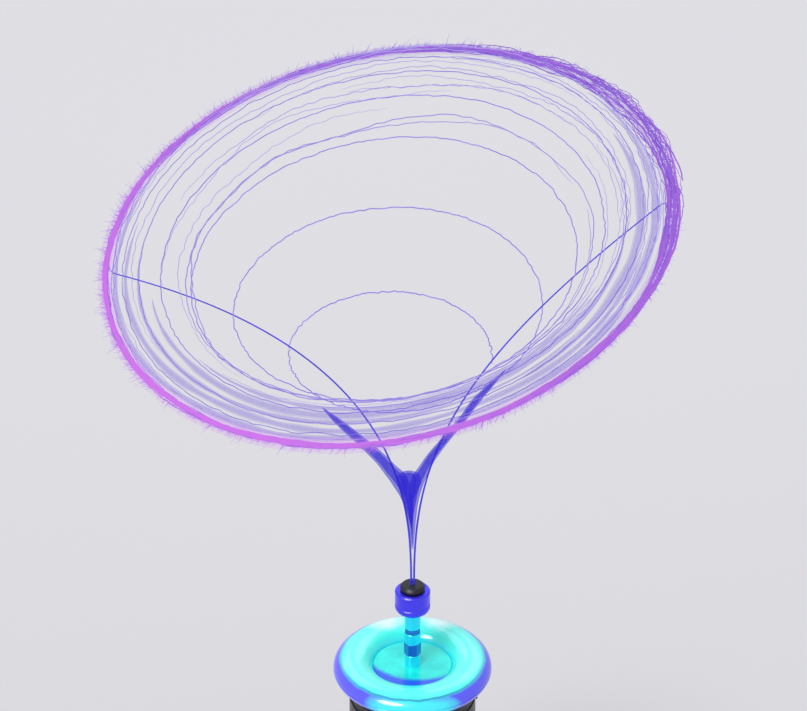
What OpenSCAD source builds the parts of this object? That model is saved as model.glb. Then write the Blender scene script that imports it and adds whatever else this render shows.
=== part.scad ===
// Desktop resonant transformer with a whirling two-wire discharge rotor.
// Millimetres, +Z up, front panel towards -Y. The origin is the centre of the underside of the base.

/* [Base cabinet] */
// Width and depth of the base
base_w = 220; // [208:1:240]
// Radius of the base's four upright corners
base_corner_r = 26; // [20:1:34]
// Thickness of the non-slip mat under the base
pad_t = 2; // [1:0.5:4]
// How far the mat stays in from the edge of the base
pad_inset = 3; // [1:0.5:6]
// Thickness of the bottom plate
bottom_t = 3; // [2:0.5:5]
// Height of the cabinet wall
wall_h = 53; // [52:1:70]
// Thickness of the cabinet wall
wall_t = 3; // [2:0.5:4]
// Thickness of the deck that carries the coils
deck_t = 6; // [5:0.5:9]
// Radius of the posts that take the cabinet screws
post_r = 6; // [5.5:0.5:7]
// Shank diameter of the cabinet screws
cabinet_screw_d = 4; // [3:0.5:5]
// Diameter of the lead-through hole in the middle of the deck
deck_hole_d = 40; // [20:1:60]
// Number of cooling slots in each side wall
vent_count = 13; // [5:1:15]
// Width of a cooling slot
vent_w = 3; // [2:0.5:4]
// Height of a cooling slot
vent_h = 28; // [16:1:36]
// Distance between cooling slots
vent_pitch = 8; // [6:0.5:9]

/* [Primary coil] */
// Number of turns
primary_turns = 6; // [3:1:7]
// Diameter of the copper tube
primary_tube_d = 6; // [4:0.5:7]
// Radius of the start of the first turn
primary_r = 80; // [79:0.5:82]
// Growth of the radius in each turn
primary_cone = 3; // [1:0.5:3]
// Climb of each turn
primary_pitch = 9.5; // [8.5:0.5:11]
// Height of the first turn over the deck
primary_lift = 12; // [10:0.5:14]
// Number of slotted combs that carry the coil
comb_count = 6; // [4,6,8]
// Thickness of a comb
comb_t = 4; // [3:0.5:6]
// Radius of the inner edge of a comb
comb_inner_r = 71; // [70:0.5:72]

/* [Secondary coil] */
// Outer diameter of the pipe that the fine wire is wound on
former_d = 110; // [100:1:112]
// Wall of that pipe
former_wall = 3.2; // [2:0.1:5]
// Height of that pipe
former_h = 206; // [180:1:260]
// Thickness of the varnished winding
winding_t = 0.9; // [0.5:0.1:1.5]
// Bare pipe left under the winding
winding_start = 22; // [20:1:30]
// Bare pipe left over the winding
winding_end = 8; // [6:1:20]
// Width of the foot ring that holds the pipe down
collar_w = 12; // [10:0.5:13]
// Height of the foot ring
collar_h = 16; // [10:0.5:18]
// Thickness of the top cap
cap_t = 4; // [3:0.5:6]
// Height of the block between the top cap and the toroid
spacer_h = 16; // [14:0.5:30]
// Diameter of that block
spacer_d = 40; // [30:1:50]

/* [Toroid] */
// Outer diameter of the toroid
toroid_d = 140; // [130:1:160]
// Width of the toroid's section
toroid_section_w = 35; // [30:0.5:38]
// Height of the toroid's section
toroid_section_h = 23; // [18:0.5:26]
// Sheet thickness of the spun halves
sheet_t = 1.2; // [0.8:0.1:2]
// Open line between the two halves at the rim
seam = 0.3; // [0.2:0.1:0.6]
// Thickness of the round plate in the toroid's dish
plate_t = 1.2; // [0.8:0.1:3]

/* [Stem] */
// Diameter of the threaded rod
rod_d = 8; // [6:0.5:9]
// Outer diameter of the sleeves on the rod
sleeve_d = 14; // [12:0.5:16]
// Height of the lowest sleeve
lower_sleeve_h = 12; // [8:0.5:30]
// Height of the middle sleeve
middle_sleeve_h = 11; // [8:0.5:30]
// Height of the top sleeve
upper_sleeve_h = 15; // [8:0.5:30]
// Width across the flats of the nuts
nut_flats = 13; // [12:0.5:14]
// Height of the long nut
long_nut_h = 12; // [6:0.5:16]
// Height of the lock nut
lock_nut_h = 5; // [3:0.5:8]

/* [Rotor] */
// Diameter of the bearing housing
housing_d = 31; // [27:0.5:36]
// Height of the bearing housing
housing_h = 25; // [25:0.5:36]
// Outer diameter of the two ball bearings
bearing_d = 22; // [22:0.5:23]
// Bore of the bearings, which is the diameter of the spindle
spindle_d = 8; // [7:0.5:8]
// Height of a bearing
bearing_h = 7; // [6:0.5:8]
// Diameter of the balls
ball_d = 3.96; // [3.5:0.01:4]
// Number of balls in a bearing
ball_count = 7; // [5:1:8]
// Height of the ring between the bearings
bearing_gap_h = 1.6; // [1:0.1:3]
// Diameter of the rotor's hub
hub_d = 22; // [18:0.5:28]
// Height of the hub
hub_h = 5.2; // [5:0.1:9]
// Diameter of a whip wire at its root
whip_root_d = 1.9; // [1.5:0.1:2.2]
// Diameter of a whip wire before its point
whip_tip_d = 1.1; // [0.6:0.1:1.4]
// Distance between the wires where they leave the hub
whip_spacing = 2.6; // [2.4:0.1:4]
// Rise of the wires along their length
whip_rise = 366; // [250:1:400]
// Radius of the circle that the wire ends draw
whip_reach = 236; // [150:1:260]
// Sideways lean of the whirling pair
whip_lean_x = -22; // [-30:1:0]
// Forward lean of the whirling pair
whip_lean_y = -28; // [-40:1:0]
// Length of the point that is bent along the circle
whip_point = 12; // [6:1:20]

/* [Discharge] */
// Thickness of the ring of light at the wires' points
light_ring_d = 4; // [3:0.5:6]
// Thickness of the trace of light that winds up to the ring
trace_d = 1; // [0.9:0.1:1.4]
// Turns of the trace
trace_turns = 6.75; // [2.75:1:8.75]
// Share of the ring's radius at which the trace leaves the right wire
trace_start = 0.305; // [0.28:0.005:0.4]
// How far the trace swells in over the wires' bowl
trace_swell = 400; // [300:10:500]

/* [Panels] */
// Diameter of the two control knobs
knob_d = 24; // [18:1:28]
// Height of the knobs
knob_h = 15; // [12:0.5:20]
// Distance of each knob from the middle of the front
knob_x = 32; // [24:1:36]
// Distance of the front sockets from the middle
socket_x = 70; // [62:1:74]
// Bore of the earth socket
earth_bore_d = 4; // [3.5:0.1:4.5]
// Bore of the signal jack
jack_bore_d = 6.4; // [6:0.1:7]
// Width of the cooling fan
fan_w = 40; // [38:1:42]
// Depth of the cooling fan
fan_t = 10; // [9:0.5:14]
// Number of fan blades
blade_count = 7; // [5:1:9]
// Place of the fan from the middle of the back
fan_x = -60; // [-62:1:-54]
// Place of the power switch from the middle of the back
switch_x = -14; // [-16:1:-12]
// Place of the mains inlet from the middle of the back
inlet_x = 36; // [34:1:44]

/* [Electronics] */
// Width of the driver board
board_w = 130; // [120:1:140]
// Depth of the driver board
board_d = 80; // [76:1:84]
// Length of the posts under the driver board
standoff_h = 6; // [4:0.5:8]
// Height of the heat sink
sink_h = 30; // [20:0.5:32]
// Number of heat sink fins
fin_count = 9; // [5:1:11]
// Diameter of the two storage capacitors
storage_cap_d = 22; // [18:0.5:24]
// Height of the two storage capacitors
storage_cap_h = 30; // [20:0.5:34]
// Width of the supply module
supply_w = 90; // [70:1:100]
// Depth of the supply module
supply_d = 52; // [40:1:54]
// Height of the supply module
supply_h = 30; // [20:0.5:34]

/* [Hidden] */
$fn = 96;

// Clearances
fit = 0.02;        // a ring pressed in its seat, on the radius
slip = 0.1;        // a tab, plug or tube that slides in its hole
run = 0.05;        // a shaft that turns in its bore
clear = 0.3;       // pieces that lie near each other
free = 0.5;        // a drum or coil in its saddle
eps = 0.01;        // how far a cut runs past a face

// Levels
bottom_z = pad_t;
wall_z = bottom_z + bottom_t;
deck_z = wall_z + wall_h;
deck_top = deck_z + deck_t;
panel_z = wall_z + wall_h / 2;
board_z = wall_z + standoff_h;
board_t = 1.6;
board_top = board_z + board_t;
former_top = deck_top + former_h;
cap_top = former_top + cap_t;
toroid_z = cap_top + spacer_h + sheet_t + seam / 2;
dish_top = toroid_z + seam / 2 + sheet_t;
plate_top = dish_top + plate_t;
lower_sleeve_z = plate_top;
long_nut_z = lower_sleeve_z + lower_sleeve_h;
middle_sleeve_z = long_nut_z + long_nut_h;
lock_nut_z = middle_sleeve_z + middle_sleeve_h;
upper_sleeve_z = lock_nut_z + lock_nut_h;
housing_z = upper_sleeve_z + upper_sleeve_h;
housing_top = housing_z + housing_h;
upper_bearing_z = housing_top - bearing_h;
lower_bearing_z = upper_bearing_z - bearing_gap_h - bearing_h;
hub_z = housing_top + 0.6;
hub_top = hub_z + hub_h;

// Radii and places
wall_in = base_w / 2 - wall_t;
post_at = base_w / 2 - base_corner_r + (base_corner_r - wall_t - post_r + 1) / sqrt(2);
corners = [[1, 1], [-1, 1], [-1, -1], [1, -1]];
former_r = former_d / 2;
former_in = former_r - former_wall;
winding_r = former_r + winding_t;
collar_r = former_r + collar_w;
collar_t = 4;
collar_wall = 3.4;
collar_screw_r = former_r + collar_w - 4;
collar_screw_d = 3;
collar_screws_n = 6;
toroid_r = toroid_d / 2;
section_a = toroid_section_w / 2;
section_b = toroid_section_h / 2;
ring_r = toroid_r - section_a;
dish_r = ring_r - section_a;
tube_r = primary_tube_d / 2;
primary_z = deck_top + primary_lift;
primary_rings = 24;
tube_sides = 6;
terminal_w = 12;
clamp_w = 11;
terminal_l = 10;
grip = 4;
lead_r = 2;
wire_r = 0.8;
board_y = -82 + board_d / 2;
supply_y = 20 + supply_d / 2;

// The lead from the upper clamp of the primary to the deck, chosen by hand
lead_x = base_w / 2 - wall_t - lead_r - 1;
lead_y = 14;
primary_end_r = primary_r + primary_cone * primary_turns;
primary_end_z = primary_z + primary_pitch * primary_turns;
lead_route = [
    [primary_end_r + clamp_w / 2, 7, primary_end_z],
    [primary_end_r + clamp_w / 2 + 3, 7, primary_end_z],
    [primary_end_r + clamp_w / 2 + 5, 7.6, primary_end_z - 4],
    [primary_end_r + clamp_w / 2 + 4.4, 9, primary_end_z - 12],
    [lead_x + 2, 11.5, primary_end_z - 28],
    [lead_x, 13.4, primary_end_z - 42],
    [lead_x, lead_y, deck_top + 8],
    [lead_x, lead_y, deck_top],
    [lead_x, lead_y, deck_z - 3],
];
// The lead from the foot of the winding down through the deck
earth_x = -(collar_r + 2);
earth_route = [
    [-winding_r - wire_r - 0.1, 0, deck_top + winding_start + 4],
    [-winding_r - wire_r - 0.6, 0, deck_top + winding_start + 1],
    [earth_x + 4, 0, deck_top + winding_start - 6],
    [earth_x, 0, deck_top + winding_start - 12],
    [earth_x, 0, deck_top + 2],
    [earth_x, 0, deck_z - 3],
];
// The lead from the top of the winding over the cap to the block under the toroid
top_route = [
    [winding_r + wire_r + 0.1, 0, former_top - winding_end - 6],
    [winding_r + wire_r + 0.6, 0, former_top - winding_end - 2],
    [winding_r + 3, 0, former_top - 2],
    [winding_r + 3, 0, cap_top],
    [winding_r, 0, cap_top + 2.4],
    [winding_r - 6, 0, cap_top + 2.4],
    [spacer_d / 2 + 0.1, 0, cap_top + 2.4],
];

// ---- Vectors and tubes along a line ----

function unit(v) = v / norm(v);
function across(v, t) = unit(v - (v * t) * t);
function tangent(p, i) =
    unit(p[min(i + 1, len(p) - 1)] - p[max(i - 1, 0)]);

// One round tube along the points p, with a radius for each point.
// side is a direction that the tube never runs along.
module tube_along(p, radii, side, sides) {
    n = len(p);
    rings = [
        for (i = [0 : n - 1])
            let (t = tangent(p, i), e = across(side, t), f = cross(t, e))
            for (j = [0 : sides - 1])
                p[i] + radii[i] * (cos(360 * j / sides) * e + sin(360 * j / sides) * f)
    ];
    walls = [
        for (i = [0 : n - 2]) for (j = [0 : sides - 1])
            let (k = (j + 1) % sides, a = i * sides)
            for (face = [[a + j, a + sides + j, a + sides + k], [a + j, a + sides + k, a + k]])
                face
    ];
    first = [for (j = [1 : sides - 2]) [0, j, j + 1]];
    end = (n - 1) * sides;
    last = [for (j = [1 : sides - 2]) [end, end + j + 1, end + j]];
    polyhedron(points = rings, faces = concat(walls, first, last), convexity = 8);
}

function same(p, r) = [for (i = p) r];

// A cubic path through hand-chosen points, with steps between each pair
function blend3(a, b, c, d, t) = 0.5 * (2 * b + (c - a) * t + (2 * a - 5 * b + 4 * c - d) * t * t
    + (3 * b - a - 3 * c + d) * t * t * t);
function smooth_path(p, steps) = [
    for (i = [0 : len(p) - 2]) for (s = [0 : steps - 1])
        blend3(p[max(i - 1, 0)], p[i], p[i + 1], p[min(i + 2, len(p) - 1)], s / steps),
    p[len(p) - 1]
];

// ---- Shared shapes ----

// The base's outline, a square with round corners, drawn in by inset
module base_outline(inset) {
    reach = base_w / 2 - base_corner_r;
    square([base_w - 2 * inset, 2 * reach], center = true);
    square([2 * reach, base_w - 2 * inset], center = true);
    for (c = corners)
        translate(reach * c) circle(r = base_corner_r - inset);
}

module at_corners() {
    for (c = corners)
        translate([post_at * c[0], post_at * c[1], 0]) children();
}

// Local z starts at the inner face of the back or front wall and points out of the cabinet
module at_back(x) {
    translate([x, wall_in, panel_z]) rotate([-90, 0, 0]) children();
}

module at_front(x) {
    translate([x, -wall_in, panel_z]) rotate([90, 0, 0]) children();
}

module ring(r_out, r_in, h) {
    difference() {
        cylinder(r = r_out, h = h);
        translate([0, 0, -1]) cylinder(r = r_in, h = h + 2);
    }
}

// A slot with round ends, upright along y, cut along z
module round_slot(w, h, depth) {
    translate([-w / 2, -(h - w) / 2, 0]) cube([w, h - w, depth]);
    for (s = [-1, 1])
        translate([0, s * (h - w) / 2, 0]) cylinder(d = w, h = depth, $fn = 24);
}

// A round-headed screw with a hexagon socket. Its head stands on z = 0.
module button_screw(d, head_d, head_h, l) {
    difference() {
        union() {
            translate([0, 0, -l]) cylinder(d = d, h = l, $fn = 32);
            cylinder(d = head_d, h = head_h * 0.55, $fn = 32);
            translate([0, 0, head_h * 0.55])
                cylinder(d1 = head_d, d2 = head_d * 0.62, h = head_h * 0.45, $fn = 32);
        }
        translate([0, 0, head_h * 0.4]) cylinder(d = d * 0.62, h = head_h, $fn = 6);
    }
}

module hex_nut(flats, h, bore) {
    difference() {
        intersection() {
            cylinder(d = flats / cos(30), h = h, $fn = 6);
            union() {
                cylinder(d1 = flats, d2 = flats / cos(30) + 0.4, h = 0.9);
                translate([0, 0, 0.9]) cylinder(d = flats / cos(30) + 0.4, h = h - 1.8);
                translate([0, 0, h - 0.9])
                    cylinder(d1 = flats / cos(30) + 0.4, d2 = flats, h = 0.9);
            }
        }
        translate([0, 0, -1]) cylinder(d = bore, h = h + 2);
    }
}

// ---- Base cabinet ----

screw_head_d = cabinet_screw_d * 1.9;
screw_head_h = cabinet_screw_d * 0.55;
cabinet_screw_l = 12;   // reach of a cabinet screw in its post

module base_pad() {
    color("#1c1c1f") difference() {
        linear_extrude(pad_t) base_outline(pad_inset);
        at_corners() translate([0, 0, -1]) cylinder(d = screw_head_d + 1, h = pad_t + 2);
    }
}

module bottom_plate() {
    color("#26262b") difference() {
        translate([0, 0, bottom_z]) linear_extrude(bottom_t) base_outline(0);
        at_corners() {
            translate([0, 0, bottom_z - 1])
                cylinder(d = cabinet_screw_d + 2 * slip, h = bottom_t + 2);
            translate([0, 0, bottom_z - 1])
                cylinder(d = screw_head_d + 2 * clear, h = 1 + bottom_t / 2);
        }
    }
}

module bottom_screws() {
    color("#8d8f94") at_corners()
        translate([0, 0, bottom_z + bottom_t / 2]) rotate([180, 0, 0])
            button_screw(cabinet_screw_d, screw_head_d, bottom_t / 2 - 0.1 + pad_t / 2, cabinet_screw_l);
}

module cabinet_wall() {
    color("#1d1b26") difference() {
        union() {
            difference() {
                translate([0, 0, wall_z]) linear_extrude(wall_h) base_outline(0);
                translate([0, 0, wall_z - 1]) linear_extrude(wall_h + 2) base_outline(wall_t);
            }
            at_corners() translate([0, 0, wall_z]) cylinder(r = post_r, h = wall_h);
        }
        at_corners() for (z = [wall_z - 1, deck_z - cabinet_screw_l - 4])
            translate([0, 0, z]) cylinder(d = cabinet_screw_d + 2 * run, h = cabinet_screw_l + 5);
        for (s = [-1, 1], i = [0 : vent_count - 1])
            translate([s * (wall_in - 1), (i - (vent_count - 1) / 2) * vent_pitch, panel_z])
                rotate([90, 0, s * 90]) round_slot(vent_w, vent_h, wall_t + 2);
        at_back(fan_x) translate([0, 0, -1]) {
            cylinder(d = fan_w - 2, h = wall_t + 2);
            at_fan_screws() cylinder(d = fan_screw_d + 2 * slip, h = wall_t + 2);
        }
        at_back(inlet_x) translate([0, 0, wall_t / 2]) {
            cube([inlet_body_w + 2 * clear, inlet_body_h + 2 * clear, wall_t + 2], center = true);
            at_inlet_screws() translate([0, 0, -wall_t])
                cylinder(d = inlet_screw_d + 2 * slip, h = 2 * wall_t);
        }
        at_back(switch_x) translate([0, 0, wall_t / 2])
            cube([switch_body_w + 2 * clear, switch_body_h + 2 * clear, wall_t + 2], center = true);
        for (s = [-1, 1]) at_front(s * knob_x) translate([0, 0, -1])
            cylinder(d = bush_d + 2 * slip, h = wall_t + 2);
        at_front(-socket_x) translate([0, 0, -1])
            cylinder(d = earth_thread_d + 2 * slip, h = wall_t + 2);
        at_front(socket_x) translate([0, 0, -1])
            cylinder(d = jack_thread_d + 2 * slip, h = wall_t + 2);
        at_front(0) translate([0, 0, -1]) cylinder(d = lamp_thread_d + 2 * slip, h = wall_t + 2);
    }
}

module deck_plate() {
    color("#15141b") difference() {
        translate([0, 0, deck_z]) linear_extrude(deck_t) base_outline(0);
        translate([0, 0, deck_z - 1]) {
            cylinder(d = deck_hole_d, h = deck_t + 2);
            at_corners() cylinder(d = cabinet_screw_d + 2 * slip, h = deck_t + 2);
            at_collar_screws() cylinder(d = collar_screw_d + 2 * run, h = deck_t + 2);
            translate([lead_x, lead_y, 0]) cylinder(r = lead_r + clear, h = deck_t + 2);
            translate([earth_x, 0, 0]) cylinder(r = wire_r + clear, h = deck_t + 2);
        }
        at_combs() translate([comb_tab_r - slip, -comb_t / 2 - slip, deck_z - 1])
            cube([comb_tab_w + 2 * slip, comb_t + 2 * slip, deck_t + 2]);
    }
}

module deck_screws() {
    color("#b9bbc2") at_corners() translate([0, 0, deck_top])
        button_screw(cabinet_screw_d, screw_head_d, screw_head_h, deck_t + cabinet_screw_l);
}

// ---- Electronics inside the cabinet ----

module at_standoffs() {
    for (c = corners)
        translate([c[0] * (board_w / 2 - 5), board_y + c[1] * (board_d / 2 - 5), 0]) children();
}

module board_standoffs() {
    color("#c9ab5a") at_standoffs() translate([0, 0, wall_z]) {
        cylinder(d = 6, h = standoff_h, $fn = 6);
        cylinder(d = 3, h = standoff_h + board_t + 2, $fn = 24);
        translate([0, 0, standoff_h + board_t]) cylinder(d = 5.6, h = 1.8, $fn = 24);
    }
}

module driver_board() {
    color("#1f5f3a") difference() {
        translate([-board_w / 2, board_y - board_d / 2, board_z]) cube([board_w, board_d, board_t]);
        at_standoffs() translate([0, 0, board_z - 1])
            cylinder(d = 3 + 2 * slip, h = board_t + 2, $fn = 24);
    }
}

sink_w = 62;
sink_d = 28;
sink_x = -26;
sink_y = board_y + 12;
sink_web = 4;
fin_t = 1.6;

module heat_sink() {
    pitch = (sink_w - fin_t) / (fin_count - 1);
    color("#9a9da6") translate([sink_x - sink_w / 2, sink_y - sink_d / 2, board_top]) {
        cube([sink_w, sink_web, sink_h]);
        for (i = [0 : fin_count - 1])
            translate([i * pitch, 0, 0]) cube([fin_t, sink_d, sink_h]);
    }
}

transistor_t = 5;
transistor_w = 16;
transistor_h = 21;

module power_transistors() {
    color("#202024") for (s = [-1, 1])
        translate([sink_x + s * 15, sink_y - sink_d / 2 - transistor_t, board_top + 4])
            difference() {
                union() {
                    translate([-transistor_w / 2, 0, 0]) cube([transistor_w, transistor_t, transistor_h]);
                    for (i = [-1, 0, 1])
                        translate([i * 5.4 - 0.6, 1.8, -4]) cube([1.2, 0.7, 4 + eps]);
                }
                translate([0, -1, transistor_h - 4]) rotate([-90, 0, 0])
                    cylinder(d = 3.6, h = transistor_t + 2, $fn = 24);
            }
}

module storage_capacitors() {
    color("#2b3550") for (i = [0, 1])
        translate([28 + i * (storage_cap_d + 2), sink_y, board_top]) rotate_extrude() polygon([
            [0, 0], [storage_cap_d / 2 - 0.6, 0], [storage_cap_d / 2, 0.6],
            [storage_cap_d / 2, 2.4], [storage_cap_d / 2 - 0.9, 3.2], [storage_cap_d / 2, 4],
            [storage_cap_d / 2, storage_cap_h - 0.8], [storage_cap_d / 2 - 0.8, storage_cap_h],
            [0, storage_cap_h],
        ]);
}

tank_w = 26;
tank_d = 9;
tank_h = 17;

module tank_capacitors() {
    color("#7a2f2a") for (i = [0 : 2])
        translate([22, board_y - 30 + i * (tank_d + 1.5), board_top]) cube([tank_w, tank_d, tank_h]);
}

module supply_module() {
    color("#17171b") difference() {
        translate([-supply_w / 2, supply_y - supply_d / 2, wall_z]) cube([supply_w, supply_d, supply_h]);
        for (s = [-1, 1]) translate([s * (supply_w / 2 - 5), supply_y, wall_z + supply_h - 6])
            cylinder(d = 4, h = 7, $fn = 24);
    }
}

// ---- Fan ----

fan_screw_d = 3;
fan_screw_at = 0.8 * fan_w / 2;
fan_bore = fan_w - 2;
fan_hub_d = 18;
fan_pin_d = 3;
motor_t = 2.5;

module at_fan_screws() {
    for (c = corners)
        translate([c[0] * fan_screw_at, c[1] * fan_screw_at, 0]) children();
}

module fan_frame() {
    color("#202025") at_back(fan_x) translate([0, 0, -fan_t]) {
        difference() {
            translate([-fan_w / 2, -fan_w / 2, 0]) cube([fan_w, fan_w, fan_t]);
            translate([0, 0, -1]) cylinder(d = fan_bore, h = fan_t + 2);
            at_fan_screws() translate([0, 0, -1]) cylinder(d = fan_screw_d + 2 * run, h = fan_t + 2);
        }
        cylinder(d = fan_hub_d, h = motor_t);
        cylinder(d = fan_pin_d, h = fan_t - 1.5);
        for (a = [0 : 2]) rotate([0, 0, 30 + 120 * a])
            translate([fan_hub_d / 2 - 1, -1, 0]) cube([fan_bore / 2 - fan_hub_d / 2 + 2, 2, 1.8]);
    }
}

// A blade bent to an arc, cut off at the running gap to the frame
module fan_blade(h) {
    camber_r = 1.4 * h;
    intersection() {
        ring(fan_bore / 2 - 0.8, fan_hub_d / 2 - 1, h);
        translate([0, 0, -0.3 * h]) rotate([0, 90, 0]) ring(camber_r, camber_r - 1, fan_bore);
        translate([0, 0, -h]) cube([fan_bore, fan_bore, 3 * h]);
    }
}

module fan_rotor() {
    z0 = motor_t + clear;
    blade_h = fan_t - z0 - 0.8;
    color("#2e2e35") at_back(fan_x) translate([0, 0, -fan_t + z0]) difference() {
        union() {
            cylinder(d = fan_hub_d, h = blade_h);
            for (i = [0 : blade_count - 1]) rotate([0, 0, 360 * i / blade_count])
                fan_blade(blade_h);
        }
        translate([0, 0, -1]) cylinder(d = fan_pin_d + 2 * run, h = fan_t - z0);
        translate([0, 0, -1]) ring(fan_hub_d / 2 - 1.4, fan_pin_d / 2 + 1.6, blade_h - 0.4);
    }
}

module fan_guard() {
    bar = 1.2;
    color("#c4c6cc") at_back(fan_x) translate([0, 0, wall_t]) {
        for (r = [5, 10, 15, fan_bore / 2]) ring(r + bar / 2, r - bar / 2, bar);
        difference() {
            union() for (s = [-1, 1]) rotate([0, 0, 45 * s])
                translate([-fan_screw_at * sqrt(2), -bar / 2, 0])
                    cube([2 * fan_screw_at * sqrt(2), bar, bar]);
            at_fan_screws() translate([0, 0, -1]) cylinder(d = 5, h = 4);
        }
        at_fan_screws() ring(3, fan_screw_d / 2 + slip, bar);
    }
}

module fan_screws() {
    at_back(fan_x) at_fan_screws() translate([0, 0, wall_t + 1.2])
        button_screw(fan_screw_d, 5.6, 1.8, wall_t + 1.2 + fan_t - 1);
}

// ---- Mains inlet and switch ----

inlet_body_w = 27;
inlet_body_h = 27;
inlet_flange_h = 31;
inlet_screw_d = 3;
inlet_screw_at = 20;
recess_w = 24.4;
recess_h = 16.2;
recess_depth = 16;
drawer_w = 20;
drawer_h = 6;
drawer_l = 16;
drawer_y = 10;
flange_t = 2.6;
inlet_depth = 22;

module at_inlet_screws() {
    for (s = [-1, 1]) translate([s * inlet_screw_at, 0, 0]) children();
}

// The local y of the inlet points down, so the fuse drawer lies under the socket
module inlet_socket() {
    face = wall_t + flange_t;
    color("#141416") at_back(inlet_x) {
        difference() {
            union() {
                translate([-inlet_body_w / 2, -inlet_body_h / 2, face - inlet_depth])
                    cube([inlet_body_w, inlet_body_h, inlet_depth - flange_t + eps]);
                translate([-inlet_screw_at, -inlet_flange_h / 2, wall_t])
                    cube([2 * inlet_screw_at, inlet_flange_h, flange_t]);
                at_inlet_screws() translate([0, 0, wall_t]) cylinder(d = 10, h = flange_t);
            }
            translate([-recess_w / 2, -inlet_body_h / 2 + 1.6, face - recess_depth])
                cube([recess_w, recess_h, recess_depth + 1]);
            translate([-drawer_w / 2 - slip, drawer_y - drawer_h / 2 - slip, face - drawer_l - slip])
                cube([drawer_w + 2 * slip, drawer_h + 2 * slip, drawer_l + 1]);
            at_inlet_screws() translate([0, 0, wall_t - 1])
                cylinder(d = inlet_screw_d + 2 * slip, h = flange_t + 2);
        }
        for (p = [[-7, 1.5], [7, 1.5], [0, -2.5]])
            translate([p[0] - 1, -inlet_body_h / 2 + 1.6 + recess_h / 2 + p[1] - 2, face - recess_depth - eps])
                cube([2, 4, recess_depth - 3]);
    }
}

module fuse_drawer() {
    face = wall_t + flange_t;
    color("#232327") at_back(inlet_x) difference() {
        union() {
            translate([-drawer_w / 2, drawer_y - drawer_h / 2, face - drawer_l])
                cube([drawer_w, drawer_h, drawer_l]);
            translate([-drawer_w / 2 - 1, drawer_y - drawer_h / 2 - 0.6, face + slip])
                cube([drawer_w + 2, drawer_h + 1.2, 1.2]);
            translate([-drawer_w / 2, drawer_y - drawer_h / 2, face - 1])
                cube([drawer_w, drawer_h, 1 + 2 * slip]);
        }
        translate([-drawer_w / 2 + 2, drawer_y - drawer_h / 2 + 1.2, face - drawer_l + 2])
            cube([drawer_w - 4, drawer_h, drawer_l - 5]);
        translate([-4, drawer_y + drawer_h / 2 - 1, face + 0.7]) cube([8, 3, 2]);
    }
}

module inlet_screws() {
    at_back(inlet_x) at_inlet_screws() translate([0, 0, wall_t + flange_t])
        button_screw(inlet_screw_d, 5.6, 1.8, wall_t + flange_t + 3);
}

// The four screws of the fan and the two of the mains inlet
module panel_screws() {
    color("#8d8f94") {
        fan_screws();
        inlet_screws();
    }
}

switch_body_w = 13;
switch_body_h = 19;
switch_bezel_t = 2;
rocker_w = 9.4;
rocker_h = 15;
rocker_throw = 10;
rocker_pin_d = 2;
rocker_pivot = -1.5;

module switch_bezel() {
    face = wall_t + switch_bezel_t;
    color("#141416") at_back(switch_x) difference() {
        union() {
            translate([-switch_body_w / 2, -switch_body_h / 2, -14])
                cube([switch_body_w, switch_body_h, 14 + wall_t + eps]);
            translate([-switch_body_w / 2 - 1, -switch_body_h / 2 - 1, wall_t])
                cube([switch_body_w + 2, switch_body_h + 2, switch_bezel_t]);
        }
        translate([-rocker_w / 2 - clear, -rocker_h / 2 - 0.8, -8])
            cube([rocker_w + 2 * clear, rocker_h + 1.6, 12 + face]);
        translate([-rocker_w / 2 - 1.2, 0, face + rocker_pivot]) rotate([0, 90, 0])
            cylinder(d = rocker_pin_d + 2 * run, h = rocker_w + 2.4);
    }
}

// A shallow V of a key on a cross pin; it rests tilted by half its throw
module switch_rocker() {
    face = wall_t + switch_bezel_t;
    color("#b3122a") at_back(switch_x) translate([0, 0, face + rocker_pivot])
        rotate([rocker_throw, 0, 0]) {
            rotate([90, 0, 90]) linear_extrude(rocker_w, center = true) polygon([
                [-rocker_h / 2, -3], [rocker_h / 2, -3], [rocker_h / 2, 3.6], [4, 2.6], [0, 2.3],
                [-4, 2.6], [-rocker_h / 2, 3.6],
            ]);
            translate([-rocker_w / 2 - 1, 0, 0]) rotate([0, 90, 0])
                cylinder(d = rocker_pin_d, h = rocker_w + 2);
        }
}

// ---- Front panel ----

earth_thread_d = 8;
jack_thread_d = 9.4;
lamp_thread_d = 8;
bush_d = 7;
shaft_d = 6;
control_d = 16;
control_h = 9;
control_nut_h = 2;
socket_back = 16;

module panel_socket(thread_d, bore_d, flange_d, depth) {
    difference() {
        union() {
            translate([0, 0, -depth]) cylinder(d = thread_d, h = depth + wall_t + 1);
            translate([0, 0, wall_t]) cylinder(d = flange_d, h = 1.6);
            translate([0, 0, wall_t + 1.6]) cylinder(d1 = flange_d, d2 = flange_d - 3, h = 2.2);
            translate([0, 0, -2.6]) cylinder(d = flange_d / cos(30) - 1, h = 2.6, $fn = 6);
        }
        translate([0, 0, -depth + 2]) cylinder(d = bore_d, h = depth + wall_t + 4);
    }
}

module earth_socket() {
    color("#3d8f3a") at_front(-socket_x)
        panel_socket(earth_thread_d, earth_bore_d, 14, socket_back);
}

module signal_jack() {
    color("#9b9da3") at_front(socket_x) {
        panel_socket(jack_thread_d, jack_bore_d, 14, socket_back);
        translate([0, 0, -socket_back - 5]) cylinder(d = 13, h = 5 + eps);
    }
}

module lamp_bezel() {
    color("#a8aab2") at_front(0) difference() {
        union() {
            translate([0, 0, -8]) cylinder(d = lamp_thread_d, h = 8 + wall_t + 1);
            translate([0, 0, wall_t]) cylinder(d1 = 12, d2 = 10, h = 2);
            translate([0, 0, -2.6]) cylinder(d = 12, h = 2.6, $fn = 6);
        }
        translate([0, 0, -6]) cylinder(d = 6, h = 20);
    }
}

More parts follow.
